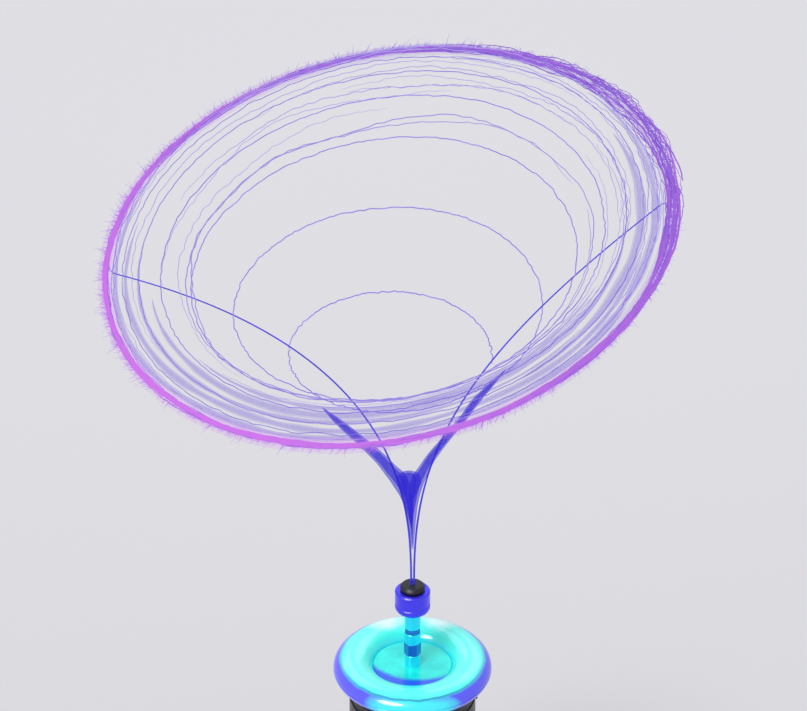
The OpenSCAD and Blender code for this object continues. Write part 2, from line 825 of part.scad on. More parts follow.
module lamp_lens() {
    color("#46c7ff") at_front(0) {
        translate([0, 0, -4]) cylinder(d = 6 - 2 * run, h = wall_t + 6);
        translate([0, 0, wall_t + 2]) intersection() {
            sphere(d = 6 - 2 * run);
            cylinder(d = 8, h = 4);
        }
    }
}

module control() {
    difference() {
        union() {
            translate([0, 0, -control_h]) cylinder(d = control_d, h = control_h);
            cylinder(d = bush_d, h = wall_t + control_nut_h + 1.5);
            translate([0, 0, wall_t]) cylinder(d = 11.5, h = control_nut_h, $fn = 6);
            translate([-4, -control_d / 2 - 5, -control_h]) cube([8, 7, 3]);
        }
        translate([0, 0, -control_h + 2]) cylinder(d = shaft_d + 2 * run, h = 30);
    }
}

shaft_l = 20;

module control_shaft() {
    translate([0, 0, -control_h + 2 + clear]) cylinder(d = shaft_d, h = shaft_l);
}

// A fluted knob with a skirt and a pointer groove
module control_knob() {
    base = wall_t + control_nut_h + 2;
    shaft_top = -control_h + 2 + clear + shaft_l;
    difference() {
        translate([0, 0, base]) rotate_extrude() polygon([
            [0, 0], [knob_d / 2, 0], [knob_d / 2, 2.6], [knob_d / 2 - 1.4, 3.4],
            [knob_d / 2 - 2.2, knob_h - 1.4], [knob_d / 2 - 3.4, knob_h], [0, knob_h],
        ]);
        for (i = [0 : 17]) rotate([0, 0, 20 * i + 10])
            translate([knob_d / 2 - 0.9, 0, base + 3.6]) cylinder(r = 1, h = knob_h, $fn = 24);
        translate([0, 0, base - 1]) cylinder(d = shaft_d + 2 * fit, h = 1 + shaft_top - base + slip);
        translate([0, 0, base - 1]) cylinder(d = 12.4, h = 1.6);
        translate([-0.6, 2, base + knob_h - 0.7]) cube([1.2, knob_d / 2, 2]);
    }
}

module knob_controls() { color("#6f7178") for (s = [-1, 1]) at_front(s * knob_x) control(); }
module power_shaft() { color("#c8c9ce") at_front(-knob_x) control_shaft(); }
module power_knob() { color("#101014") at_front(-knob_x) control_knob(); }
module rate_shaft() { color("#c8c9ce") at_front(knob_x) control_shaft(); }
module rate_knob() { color("#101014") at_front(knob_x) control_knob(); }

// ---- Primary coil ----

// The centre line of the copper tube, by the angle wound since its start
function coil_at(a) =
    let (r = primary_r + primary_cone * a / 360)
    [r * cos(a), r * sin(a), primary_z + primary_pitch * a / 360];

coil_turned = [
    for (i = [0 : primary_rings * primary_turns]) coil_at(360 * i / primary_rings)
];
coil_last = len(coil_turned) - 1;
coil_line = concat(
    [coil_turned[0] - primary_tube_d * [0, 1, 0]],
    coil_turned,
    [coil_turned[coil_last] + primary_tube_d * [0, 1, 0]]
);

// Least distance between the tube and its own next turn
coil_gap = min([
    for (i = [0 : coil_last - primary_rings])
        for (j = [i + primary_rings / 2 : min(i + 2 * primary_rings, coil_last)])
        norm(coil_turned[i] - coil_turned[j])
]) - primary_tube_d;
echo(primary_coil_gap_mm = coil_gap);

module primary_coil() {
    color("#c56a35") tube_along(coil_line, same(coil_line, tube_r), [0, 0, 1], tube_sides);
}

comb_tab_r = comb_inner_r + 3;
comb_tab_w = 12;
comb_lip = tube_r / 2;
comb_foot_h = primary_lift - tube_r - 3;

module at_combs() {
    for (i = [0 : comb_count - 1]) rotate([0, 0, comb_angle(i)]) children();
}

function comb_angle(i) = 15 * round((30 + 360 * i / comb_count) / 15);

module primary_combs() {
    top = primary_end_z - primary_z + primary_lift + tube_r + 3;
    slope = primary_cone / primary_pitch;
    edge = primary_r + comb_lip;
    foot = edge + slope * (top - primary_lift);
    color("#e8e6df") for (i = [0 : comb_count - 1]) rotate([0, 0, comb_angle(i)])
        translate([0, 0, deck_top]) rotate([90, 0, 0]) difference() {
            linear_extrude(comb_t, center = true) polygon([
                [comb_tab_r, -deck_t], [comb_tab_r + comb_tab_w, -deck_t],
                [comb_tab_r + comb_tab_w, 0], [foot, 0], [foot, comb_foot_h * 0.6],
                [edge, comb_foot_h], [edge, primary_lift],
                [foot, top], [foot - 6, top + 2], [comb_inner_r + 9, top + 2],
                [comb_inner_r, top - 8], [comb_inner_r, 0], [comb_tab_r, 0],
            ]);
            for (n = [0 : primary_turns - 1])
                let (p = coil_at(360 * n + comb_angle(i)))
                translate([norm([p[0], p[1]]), p[2] - deck_top, -comb_t])
                    cylinder(r = tube_r + free, h = 2 * comb_t);
        }
}

// The lower block stands on the deck, the upper clamp is carried by the end of the tube
module primary_terminals() {
    lower_h = primary_lift + tube_r + 1.6;
    color("#c9ab5a") {
        difference() {
            translate([primary_r - terminal_w / 2, -primary_tube_d - clear - terminal_l + grip, deck_top])
                cube([terminal_w, terminal_l, lower_h]);
            translate([primary_r, -primary_tube_d - clear, primary_z]) rotate([-90, 0, 0])
                cylinder(r = tube_r + clear, h = terminal_l);
        }
        difference() {
            translate([primary_end_r - clamp_w / 2, primary_tube_d + clear - grip, primary_end_z - clamp_w / 2])
                cube([clamp_w, terminal_l, clamp_w]);
            translate([primary_end_r, primary_tube_d + clear, primary_end_z]) rotate([90, 0, 0])
                cylinder(r = tube_r + clear, h = terminal_l);
        }
    }
}

module primary_lead() {
    path = smooth_path(lead_route, 3);
    color("#2a2a33") tube_along(path, same(path, lead_r), [0, 1, 0], 8);
}

// ---- Secondary coil ----

module at_collar_screws() {
    for (i = [0 : collar_screws_n - 1]) rotate([0, 0, 360 * (i + 0.5) / collar_screws_n - 30])
        translate([collar_screw_r, 0, 0]) children();
}

module former_tube() {
    color("#d9d7cf") translate([0, 0, deck_top]) ring(former_r, former_in, former_h);
}

module secondary_winding() {
    color("#0d0b14") translate([0, 0, deck_top + winding_start])
        ring(winding_r, former_r + fit, former_h - winding_start - winding_end);
}

module former_collar() {
    color("#1a1a20") difference() {
        translate([0, 0, deck_top]) rotate_extrude() polygon([
            [former_r + slip, 0], [collar_r, 0], [collar_r, collar_t - 0.8],
            [collar_r - 0.8, collar_t], [former_r + collar_wall + 1.6, collar_t],
            [former_r + collar_wall, collar_t + 1.6], [former_r + collar_wall, collar_h - 1],
            [former_r + collar_wall - 1, collar_h], [former_r + slip, collar_h],
        ]);
        at_collar_screws() translate([0, 0, deck_top - 1])
            cylinder(d = collar_screw_d + 2 * slip, h = collar_t + 2);
    }
}

module collar_screws() {
    color("#b9bbc2") at_collar_screws() translate([0, 0, deck_top + collar_t])
        button_screw(collar_screw_d, 5.4, 1.8, collar_t + deck_t - 1);
}

cap_r = former_r + 1.5;
cap_plug_h = 10;

module former_cap() {
    color("#14131a") difference() {
        translate([0, 0, former_top]) rotate_extrude() polygon([
            [0, 0], [0, cap_t], [cap_r - 1, cap_t], [cap_r, cap_t - 1], [cap_r, 0],
            [former_in - slip, 0], [former_in - slip, -cap_plug_h], [former_in - 3, -cap_plug_h],
            [former_in - 3, 0],
        ]);
        translate([0, 0, former_top - 1]) cylinder(d = rod_d + 2 * slip, h = cap_t + 2);
    }
}

module earth_lead() {
    path = smooth_path(earth_route, 3);
    color("#7c3a1c") tube_along(path, same(path, wire_r), [0, 1, 0], 8);
}

module top_lead() {
    path = smooth_path(top_route, 3);
    color("#7c3a1c") tube_along(path, same(path, wire_r), [0, 1, 0], 8);
}

// ---- Toroid ----

// A point on the section's outline, a flattened round about the ring's centre line
function section_at(a, inset) = [ring_r + (section_a - inset) * cos(a), (section_b - inset) * sin(a)];

arc_steps = 36;
rim_cut = 0.5;

// One spun half, open side down, with its flat middle on the level of the rim
module spun_half() {
    lap = asin(sheet_t / section_b);
    rotate_extrude() polygon(concat(
        [[rod_d / 2 + slip, 0], [rod_d / 2 + slip, sheet_t]],
        [for (i = [0 : arc_steps - 1]) section_at(180 - lap - (180 - lap) * i / arc_steps, 0)],
        [[toroid_r - rim_cut, 0]],
        [for (i = [0 : arc_steps]) section_at(180 * i / arc_steps, sheet_t)]
    ));
}

module toroid_upper() {
    color("#2fd8e6") translate([0, 0, toroid_z + seam / 2]) spun_half();
}

module toroid_lower() {
    color("#25aecb") translate([0, 0, toroid_z - seam / 2]) mirror([0, 0, 1]) spun_half();
}

module toroid_plate() {
    edge = dish_r - clear;
    color("#15c9e8") translate([0, 0, dish_top]) difference() {
        rotate_extrude() polygon([
            [0, 0], [edge - 0.6, 0], [edge, 0.4], [edge - 0.5, plate_t], [0, plate_t],
        ]);
        translate([0, 0, -1]) cylinder(d = rod_d + 2 * slip, h = plate_t + 2);
    }
}

module toroid_spacer() {
    color("#8f929c") translate([0, 0, cap_top]) difference() {
        union() {
            cylinder(d = spacer_d, h = 3);
            cylinder(d = spacer_d - 8, h = spacer_h);
            translate([0, 0, spacer_h - 3]) cylinder(d = spacer_d, h = 3);
        }
        translate([0, 0, -1]) cylinder(d = rod_d + 2 * slip, h = spacer_h + 2);
    }
}

// ---- Stem ----

rod_below = 9;
rod_in_housing = 6;
washer_t = 1.6;

module stem_rod() {
    color("#9da0a8") translate([0, 0, former_top - rod_below])
        cylinder(d = rod_d, h = housing_z + rod_in_housing - former_top + rod_below);
}

module sleeve(h) {
    difference() {
        rotate_extrude() polygon([
            [0, 0], [sleeve_d / 2 - 0.5, 0], [sleeve_d / 2, 0.5], [sleeve_d / 2, h - 0.5],
            [sleeve_d / 2 - 0.5, h], [0, h],
        ]);
        translate([0, 0, -1]) cylinder(d = rod_d + 2 * slip, h = h + 2);
    }
}

module stem_sleeves() {
    color("#35b7e0") {
        translate([0, 0, lower_sleeve_z]) sleeve(lower_sleeve_h);
        translate([0, 0, middle_sleeve_z]) sleeve(middle_sleeve_h);
        translate([0, 0, upper_sleeve_z]) sleeve(upper_sleeve_h);
    }
}

module stem_nuts() {
    bore = rod_d + 2 * run;
    color("#4c5f9a") {
        translate([0, 0, long_nut_z]) hex_nut(nut_flats, long_nut_h, bore);
        translate([0, 0, lock_nut_z]) rotate([0, 0, 30]) hex_nut(nut_flats, lock_nut_h, bore);
        translate([0, 0, former_top - washer_t]) ring(nut_flats * 0.65, rod_d / 2 + slip, washer_t);
        translate([0, 0, former_top - washer_t - 5.5]) hex_nut(nut_flats, 5.5, bore);
    }
}

// ---- Bearings ----

bearing_r = bearing_d / 2;
spindle_r = spindle_d / 2;
pitch_r = (bearing_r + spindle_r) / 2;
inner_ring_r = pitch_r - ball_d / 2 + 0.55;
outer_ring_r = pitch_r + ball_d / 2 - 0.55;
race_r = ball_d / 2 + run;
cage_h = ball_d + 1.2;

module bearing_housing() {
    seat_h = housing_top - lower_bearing_z;
    color("#4a44e0") translate([0, 0, housing_z]) difference() {
        rotate_extrude() polygon([
            [0, 0], [sleeve_d / 2 + 1.5, 0], [housing_d / 2 - 1, 5], [housing_d / 2, 7],
            [housing_d / 2, 10], [housing_d / 2 - 0.7, 10.7], [housing_d / 2 - 0.7, 12],
            [housing_d / 2, 12.7], [housing_d / 2, housing_h - 1.2],
            [housing_d / 2 - 1.2, housing_h], [0, housing_h],
        ]);
        translate([0, 0, -1]) cylinder(d = rod_d + 2 * run, h = rod_in_housing + 1 + slip);
        translate([0, 0, housing_h - seat_h]) cylinder(r = bearing_r + fit, h = seat_h + 1);
        translate([0, 0, housing_h - seat_h - 1]) cylinder(r = spindle_r + 1.2, h = 2);
    }
}

module at_bearings() {
    for (z = [lower_bearing_z, upper_bearing_z]) translate([0, 0, z]) children();
}

module race_groove() {
    translate([0, 0, bearing_h / 2]) rotate_extrude() translate([pitch_r, 0]) circle(r = race_r);
}

module outer_rings() {
    color("#b8bac2") {
        at_bearings() difference() {
            ring(bearing_r, outer_ring_r, bearing_h);
            race_groove();
        }
        translate([0, 0, upper_bearing_z - bearing_gap_h + run])
            ring(bearing_r, bearing_r - 1.4, bearing_gap_h - 2 * run);
    }
}

module inner_rings() {
    color("#c6c8cf") {
        at_bearings() difference() {
            ring(inner_ring_r, spindle_r + fit, bearing_h);
            race_groove();
        }
        translate([0, 0, upper_bearing_z - bearing_gap_h + run])
            ring(spindle_r + 1.4, spindle_r + fit, bearing_gap_h - 2 * run);
    }
}

module at_balls() {
    at_bearings() for (i = [0 : ball_count - 1]) rotate([0, 0, 360 * i / ball_count])
        translate([pitch_r, 0, bearing_h / 2]) children();
}

module bearing_balls() {
    color("#d5d7dd") at_balls() sphere(d = ball_d);
}

module bearing_cages() {
    color("#b08d4a") difference() {
        at_bearings() translate([0, 0, (bearing_h - cage_h) / 2])
            ring(pitch_r + 0.6, pitch_r - 0.6, cage_h);
        at_balls() rotate([0, 90, 0]) cylinder(r = race_r, h = 3, center = true);
    }
}

// ---- Rotor ----

root_depth = 4;
grub_d = 2.5;

module spindle() {
    color("#aeb1ba") translate([0, 0, lower_bearing_z - 0.6]) difference() {
        cylinder(d = spindle_d, h = hub_top - root_depth - 0.4 - lower_bearing_z + 0.6);
        translate([0, 0, -1]) cylinder(d = 2, h = 4);
    }
}

module rotor_hub() {
    color("#101016") difference() {
        translate([0, 0, housing_top]) rotate_extrude() polygon([
            [0, 0.05], [spindle_r + 1.6, 0.05], [spindle_r + 1.6, 0.6], [hub_d / 2 - 0.8, 0.6],
            [hub_d / 2, 1.4], [hub_d / 2, hub_h - 1.6], [hub_d / 2 - 2, hub_h + 0.4],
            [whip_spacing / 2 + 2.6, hub_h + 0.6], [0, hub_h + 0.6],
        ]);
        translate([0, 0, housing_top - 1])
            cylinder(r = spindle_r + fit, h = hub_top - root_depth - 0.4 - housing_top + 1 + slip);
        for (s = [-1, 1]) translate([s * whip_spacing / 2, 0, hub_top - root_depth])
            cylinder(d = whip_root_d + 2 * slip, h = root_depth + 1, $fn = 32);
        for (s = [-1, 1]) translate([0, 0, hub_z + grub_z]) rotate([0, s * 90, 0])
            cylinder(d = grub_d + 2 * run, h = hub_d, $fn = 32);
    }
}

grub_z = 1.5;
grub_l = 5;

// Two grub screws that hold the hub on the spindle
module hub_screws() {
    color("#8d8f94") for (s = [-1, 1])
        translate([0, 0, hub_z + grub_z]) rotate([0, s * 90, 0])
            translate([0, 0, spindle_r + run]) difference() {
                cylinder(d = grub_d, h = grub_l, $fn = 32);
                translate([0, 0, grub_l - 1.5]) cylinder(d = 1.3, h = 2, $fn = 6);
            }
}

// The line midway between the two wires bends over more the higher it gets
function mid_line(t) = [whip_lean_x * pow(t, 3), whip_lean_y * pow(t, 3), hub_top + whip_rise * t];
function mid_way(t) = unit([3 * whip_lean_x * t * t, 3 * whip_lean_y * t * t, whip_rise]);
function out_way(t) = across([1, 0, 0], mid_way(t));
whip_power = 2.5;
function whip_to(t, s, reach) = mid_line(t)
    + s * (whip_spacing / 2 + (reach - whip_spacing / 2) * pow(t, whip_power)) * out_way(t);

whip_rings = 48;
point_rings = 4;
point_end = 0.2;   // thickness left at the very end of a point

// The bent point turns from the wire's own way to the way along the circle
function bent_point(p, way, turn, i) =
    i > point_rings ? [] :
    let (k = i / point_rings, next = p + whip_point / point_rings * unit((1 - k) * way + k * turn))
    concat([next], bent_point(next, way, turn, i + 1));

// Where a bent point ends, seen from the end of its wire
end_way = unit(whip_to(1, 1, whip_reach) - whip_to(1 - 1 / whip_rings, 1, whip_reach));
round_way = -cross(mid_way(1), out_way(1));
point_drift = bent_point([0, 0, 0], end_way, round_way, 1)[point_rings - 1];

// The points end beside the ring of light, a small gap inside it
point_gap = 0.65;
point_r = whip_reach - light_ring_d / 2 - whip_tip_d / 2 * point_end - point_gap;
whip_end_r = sqrt(pow(point_r, 2) - pow(point_drift * round_way, 2)) - point_drift * out_way(1);
function whip_at(t, s) = whip_to(t, s, whip_end_r);

module whip(s) {
    root = whip_at(0, s);
    along = [for (i = [0 : whip_rings]) whip_at(i / whip_rings, s)];
    end = along[whip_rings];
    way = unit(end - along[whip_rings - 1]);
    turn = -s * cross(mid_way(1), out_way(1));
    point = bent_point(end, way, turn, 1);
    path = concat([root - (root_depth - slip) * [0, 0, 1]], along, point);
    last = len(path) - 1;
    radii = [for (i = [0 : last])
        i <= whip_rings + 1 ? (whip_root_d + (whip_tip_d - whip_root_d) * i / (whip_rings + 1)) / 2
            : whip_tip_d / 2 * (1 - (1 - point_end) * (i - whip_rings - 1) / point_rings)];
    color("#3a33d8") tube_along(path, radii, [0, 1, 0], 8);
}

module left_whip() { whip(-1); }
module right_whip() { whip(1); }

// ---- Light of the discharge ----
// Thin solids stand in for it: a ring at the wires' points, and the trace of the whirl as it
// widens, which starts on the right wire and ends on the ring

light_centre = mid_line(1) + (point_drift * mid_way(1)) * mid_way(1);
light_tilt = acos(mid_way(1)[2]);
light_heading = atan2(mid_way(1)[1], mid_way(1)[0]);

module discharge_ring() {
    color("#c06cf2") translate(light_centre) rotate([0, light_tilt, light_heading])
        rotate_extrude() translate([whip_reach, 0]) circle(d = light_ring_d);
}

trace_rings = 36;   // in each turn
trace_sides = 4;
trace_closing = 0.755;   // what a turn leaves of the way to the ring
trace_end = 1 - (light_ring_d / 2 + trace_d / 2 + clear) / whip_reach;
trace_seat = 1.6 * (whip_root_d / 2 + trace_d / 2 + clear);

// The trace's share of the ring's radius after so many turns
function trace_share(turns) = trace_start + (trace_end - trace_start)
    * (1 - pow(trace_closing, turns)) / (1 - pow(trace_closing, trace_turns));

// How high the trace lies over the wires' bowl
function trace_lift(share) = trace_seat * (trace_end - share) / (trace_end - trace_start)
    + trace_swell * max(0, share - 0.5) * (trace_end - share);

// Height, as a share of the wires' rise, at which a wire has this radius
function wire_rise(r) = pow((r - whip_spacing / 2) / (whip_end_r - whip_spacing / 2), 1 / whip_power);

function trace_at(turns) =
    let (share = trace_share(turns), r = share * whip_reach, a = 360 * turns,
        t = wire_rise(r) + trace_lift(share) / whip_rise, out = out_way(t))
    mid_line(t) + r * (cos(a) * out + sin(a) * cross(mid_way(t), out));

trace_line = [for (i = [0 : trace_rings * trace_turns]) trace_at(i / trace_rings)];
trace_last = len(trace_line) - 1;

// Least distance between the trace and its own next turn
trace_gap = min([
    for (i = [0 : trace_last - trace_rings])
        for (j = [i + trace_rings / 2 : min(i + 2 * trace_rings, trace_last)])
        norm(trace_line[i] - trace_line[j])
]) - trace_d;
echo(discharge_trace_gap_mm = trace_gap);

module discharge_trace() {
    color("#9a7cf0") tube_along(trace_line, same(trace_line, trace_d / 2), [0, 0, 1], trace_sides);
}

base_pad();
bottom_plate();
cabinet_wall();
deck_plate();
bottom_screws();
deck_screws();
board_standoffs();
driver_board();
heat_sink();
power_transistors();
storage_capacitors();
tank_capacitors();
supply_module();
fan_frame();
fan_rotor();
fan_guard();
panel_screws();
inlet_socket();
fuse_drawer();
switch_bezel();
switch_rocker();
earth_socket();
signal_jack();
lamp_bezel();
lamp_lens();
knob_controls();
power_shaft();
power_knob();
rate_shaft();
rate_knob();
primary_combs();
primary_coil();
primary_terminals();
primary_lead();
former_tube();
secondary_winding();
former_collar();
collar_screws();
former_cap();
earth_lead();
top_lead();
toroid_spacer();
toroid_lower();
toroid_upper();
toroid_plate();
stem_rod();
stem_sleeves();
stem_nuts();
bearing_housing();
outer_rings();
inner_rings();
bearing_cages();
bearing_balls();
spindle();
rotor_hub();
left_whip();
right_whip();
hub_screws();
discharge_ring();
discharge_trace();
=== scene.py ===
import math
import random

import bpy
from bpy.props import FloatProperty, FloatVectorProperty, IntProperty, PointerProperty
from bpy.types import Operator, Panel, PropertyGroup
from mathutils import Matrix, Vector, noise


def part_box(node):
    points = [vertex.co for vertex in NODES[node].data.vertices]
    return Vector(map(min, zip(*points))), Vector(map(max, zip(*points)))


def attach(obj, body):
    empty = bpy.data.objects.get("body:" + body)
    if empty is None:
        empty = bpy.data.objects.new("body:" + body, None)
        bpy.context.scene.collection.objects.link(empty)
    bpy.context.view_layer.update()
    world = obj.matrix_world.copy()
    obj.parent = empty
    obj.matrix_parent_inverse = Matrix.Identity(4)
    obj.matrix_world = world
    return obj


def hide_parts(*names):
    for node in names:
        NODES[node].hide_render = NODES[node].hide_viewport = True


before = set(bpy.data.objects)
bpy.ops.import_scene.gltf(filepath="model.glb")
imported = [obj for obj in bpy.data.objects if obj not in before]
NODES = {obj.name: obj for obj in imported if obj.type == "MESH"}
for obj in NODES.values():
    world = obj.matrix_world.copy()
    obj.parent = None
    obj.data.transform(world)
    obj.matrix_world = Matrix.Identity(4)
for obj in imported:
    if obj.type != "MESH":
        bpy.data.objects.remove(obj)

bl_info = {
    "name": "Resonant transformer",
    "version": (1, 0, 0),
    "blender": (4, 5, 0),
    "location": "3D View > Sidebar > Transformer",
    "description": "Finishes a desktop resonant transformer and the ring of light over it",
    "category": "Add Mesh",
}

MM = 0.001
TAU = math.tau


# ---- Sizes that are read from the frame ----

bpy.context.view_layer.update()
HUB_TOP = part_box("rotor_hub")[1].z
TOROID_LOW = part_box("toroid_lower")[0].z
TOROID_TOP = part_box("toroid_upper")[1].z
TOROID_MID = (TOROID_LOW + TOROID_TOP) / 2
TOROID_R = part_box("toroid_upper")[1].x
DECK_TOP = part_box("deck_plate")[1].z


# ---- What a user may change ----

def length(name, description, default, **more):
    """A length in metres."""
    return FloatProperty(
        name=name, description=description, default=default, unit="LENGTH", **more)


def triple(hex_value):
    """The red, green and blue of an sRGB hex value, 0 to 1."""
    return tuple(int(hex_value[i:i + 2], 16) / 255 for i in (1, 3, 5))


def colour(name, description, hex_value):
    """An sRGB colour."""
    return FloatVectorProperty(name=name, description=description, subtype="COLOR_GAMMA",
                               size=3, default=triple(hex_value))


class ResonatorSizes(PropertyGroup):
    """Sizes of the pieces that are made here and not in the frame"""
    section_width: length(
        "Toroid section width", "Width of the toroid's flattened section", 0.035)
    sheet: length("Toroid sheet", "Thickness of the spun sheet", 0.0012)
    seam: length("Toroid seam", "Open line between the spun halves", 0.0003)
    whip_rise: length("Wire rise", "Rise of the wires along their length", 0.366)
    whip_reach: length("Wire reach", "Radius of the circle that the wire ends draw", 0.236)
    whip_lean: FloatVectorProperty(
        name="Lean", description="How far the whirling pair leans to the side and forward",
        size=2, default=(-0.022, -0.028), unit="LENGTH")
    whip_root: length("Wire root", "Diameter of a wire where it leaves the hub", 0.0019)
    whip_tip: length("Wire tip", "Diameter of a wire before its point", 0.0011)
    whip_spacing: length("Wire spacing", "Distance between the wires at the hub", 0.0026)
    whip_point: length("Wire point", "Length of the bent point", 0.012)
    light_thick: length("Ring of light", "Thickness of the ring of light", 0.004)
    point_gap: length(
        "Point distance", "Distance between a wire's point and the ring of light", 0.00065,
        precision=5)
    trace_turns: FloatProperty(
        name="Trace turns", description="Turns of the trace that winds up to the ring",
        default=6.75)
    trace_start: FloatProperty(
        name="Trace start",
        description="Share of the ring's radius where the trace leaves the wire", default=0.305)
    trace_swell: length(
        "Trace swell", "How far the trace swells in over the wires' bowl", 0.4)
    primary_turns: IntProperty(
        name="Primary turns", description="Turns of the copper tube", default=6, min=1)
    primary_radius: length("Primary radius", "Radius of the start of the first turn", 0.080)
    primary_cone: length("Primary growth", "Growth of the radius in each turn", 0.003)
    primary_pitch: length("Primary climb", "Climb of each turn", 0.0095)
    primary_tube: length("Copper tube", "Diameter of the copper tube", 0.006)
    primary_lift: length("Primary lift", "Height of the first turn over the deck", 0.012)


class ResonatorColours(PropertyGroup):
    """Colours of the glow, of the hero finishes and of the painted light on the toroid and the
    housing, as sRGB values
    """
    # Painted highlight: the pale crest colour at the top of the toroid's painted light
    pale_crest_highlight: colour("Aqua enamel", "Crest of the toroid", "#5cf7ed")
    # Painted shade and reflection: the blue-violet of the toroid's outer side and underside
    margin: colour("Toroid margin", "Outer margin and underside of the toroid", "#4a4aeb")
    # Painted light: the housing's violet stands in for the blue light on its white-ish metal
    violet: colour("Housing painted blue light", "Bearing housing", "#453dfa")
    whip: colour("Blue wire", "Enamel of the wires and colour of their blur", "#3026d6")
    ring: colour("Ring, bright side", "Ring of light at the lower left", "#d178eb")
    ring_dim: colour("Ring, dim side", "Ring of light at the upper right", "#8f63d6")


class ResonatorStage(PropertyGroup):
    """Camera and light"""
    pitch: FloatProperty(
        name="Camera pitch", description="How far the camera looks down",
        default=math.radians(32.1), subtype="ANGLE")
    distance: length("Camera distance", "Distance to the toroid", 4.0)
    scale: length("Photo scale", "Size of a photo pixel at the toroid", 0.0008816, precision=6)
    streamers: IntProperty(
        name="Streamers", description="Number of fine streamers round the ring",
        default=2600, min=0)


# ---- Colour and nodes ----

def linear(colour):
    """An sRGB hex string or triple as a linear RGBA colour."""
    if isinstance(colour, str):
        colour = triple(colour)
    bent = [c / 12.92 if c <= 0.04045 else ((c + 0.055) / 1.055) ** 2.4 for c in colour]
    return (*bent, 1.0)


def add(tree, kind, inputs=None, out=None, stops=(), **settings):
    """Adds a node, sets its properties and its colour stops, sets or links its inputs, and
    gives back the output that is asked for, or else the node."""
    made = tree.nodes.new("ShaderNode" + kind)
    for name, value in settings.items():
        setattr(made, name, value)
    for name, value in (inputs or {}).items():
        socket = made.inputs[name]
        if isinstance(value, bpy.types.NodeSocket):
            tree.links.new(value, socket)
        else:
            socket.default_value = value
    for i, (place, shade) in enumerate(stops):
        if i == len(made.color_ramp.elements):
            made.color_ramp.elements.new(place)
        made.color_ramp.elements[i].position = place
        made.color_ramp.elements[i].color = linear(shade)
    return made if out is None else made.outputs[out]


def new_material(name, **sockets):
    """A material with a bare Principled shader. Names of sockets have _ for a space."""
    material = bpy.data.materials.new(name)
    material.use_nodes = True
    tree = material.node_tree
    shader = tree.nodes["Principled BSDF"]
    for key, value in sockets.items():
        shader.inputs[key.replace("_", " ").title().replace("Ior", "IOR")].default_value = value
    return material, tree, shader


def speckle(tree, size_mm, detail=3.0, rough=0.55):
    """A pattern of grains about size_mm wide, on object coordinates."""
    place = add(tree, "TexCoord", out="Object")
    return add(tree, "TexNoise", {
        "Vector": place, "Scale": 1000 / size_mm, "Detail": detail, "Roughness": rough}, "Fac")


def streaks(tree, size_mm, stretch, turn=0.0):
    """A pattern of grains that are drawn out along the axes where their stretch is small."""
    place = add(tree, "TexCoord", out="Object")
    place = add(tree, "Mapping", {
        "Vector": place, "Rotation": (0, 0, turn), "Scale": stretch}, "Vector")
    return add(tree, "TexNoise", {"Vector": place, "Scale": 1000 / size_mm, "Detail": 2.0}, "Fac")


def level_lines(tree, pitch_mm, distortion):
    """A pattern of level lines, pitch_mm apart, for windings and turned faces."""
    one_mm = 314.15   # scale of the waves that lie 1 mm apart
    place = add(tree, "TexCoord", out="Object")
    return add(tree, "TexWave", {
        "Vector": place, "Scale": one_mm / pitch_mm, "Distortion": distortion, "Detail": 1.0},
        "Fac", wave_type="BANDS", bands_direction="Z")


def sway(tree, value, reach, size_mm, detail):
    """A value that a pattern of grains moves by up to reach, both ways."""
    grain = speckle(tree, size_mm, detail)
    moved = add(tree, "MapRange", {"Value": grain, "To Min": -reach, "To Max": reach}, "Result")
    return add(tree, "Math", {0: value, 1: moved}, "Value", operation="ADD")


def emboss(tree, shader, height, depth_mm):
    """Lets a 0 to 1 height stand depth_mm out of the surface."""
    normal = add(tree, "Bump", {
        "Height": height, "Distance": depth_mm * MM, "Strength": 1.0}, "Normal")
    tree.links.new(normal, shader.inputs["Normal"])


def roughen(tree, shader, factor, low, high):
    """Lets a pattern move the shader's roughness between low and high."""
    rough = add(tree, "MapRange", {"Value": factor, "To Min": low, "To Max": high}, "Result")
    tree.links.new(rough, shader.inputs["Roughness"])


def paint(tree, shader, shade, glow=0.0):
    """Puts a colour on the surface, and lets it glow in the same colour: a painted glow."""
    tree.links.new(shade, shader.inputs["Base Color"])
    if glow:
        tree.links.new(shade, shader.inputs["Emission Color"])
        shader.inputs["Emission Strength"].default_value = glow


def tint(tree, shader, factor, stops, glow=0.0):
    """Paints the surface by the (place, colour) stops of a pattern."""
    paint(tree, shader, add(tree, "ValToRGB", {"Fac": factor}, "Color", stops), glow)


# ---- Materials ----

def surface(name, colours, cloud, gloss=None, relief=None, at=(0.3, 0.7), glow=0.0, **sockets):
    """A finish with clouds of colour. Grains are written as for speckle: cloud is a grain,
    gloss the least and most roughness and a grain, relief a depth in millimetres and a grain."""
    material, tree, shader = new_material(name, **sockets)
    tint(tree, shader, speckle(tree, *cloud), list(zip(at, colours)), glow)
    if gloss:
        roughen(tree, shader, speckle(tree, *gloss[2:]), *gloss[:2])
    if relief:
        emboss(tree, shader, speckle(tree, *relief[1:]), relief[0])
    return material


def rubber_mat():
    """Moulded nitrile rubber: matt, a fine pebble, dusty grey on its high spots."""
    return surface("rubber_mat", ("#141416", "#26262a"), (1.2,), None, (0.2, 1.2),
                   at=(0.35, 0.7), roughness=0.85, ior=1.52)


def cast_acrylic():
    """Polished black cast acrylic: deep gloss with hair-fine wiping scratches and dust."""
    material, tree, shader = new_material(
        "cast_acrylic", roughness=0.12, ior=1.49, coat_weight=0.4, coat_roughness=0.05)
    tint(tree, shader, speckle(tree, 30, 5), [(0.3, "#0e0d14"), (0.7, "#17161f")])
    roughen(tree, shader, streaks(tree, 2.5, (1, 14, 1), 0.6), 0.08, 0.24)
    return material


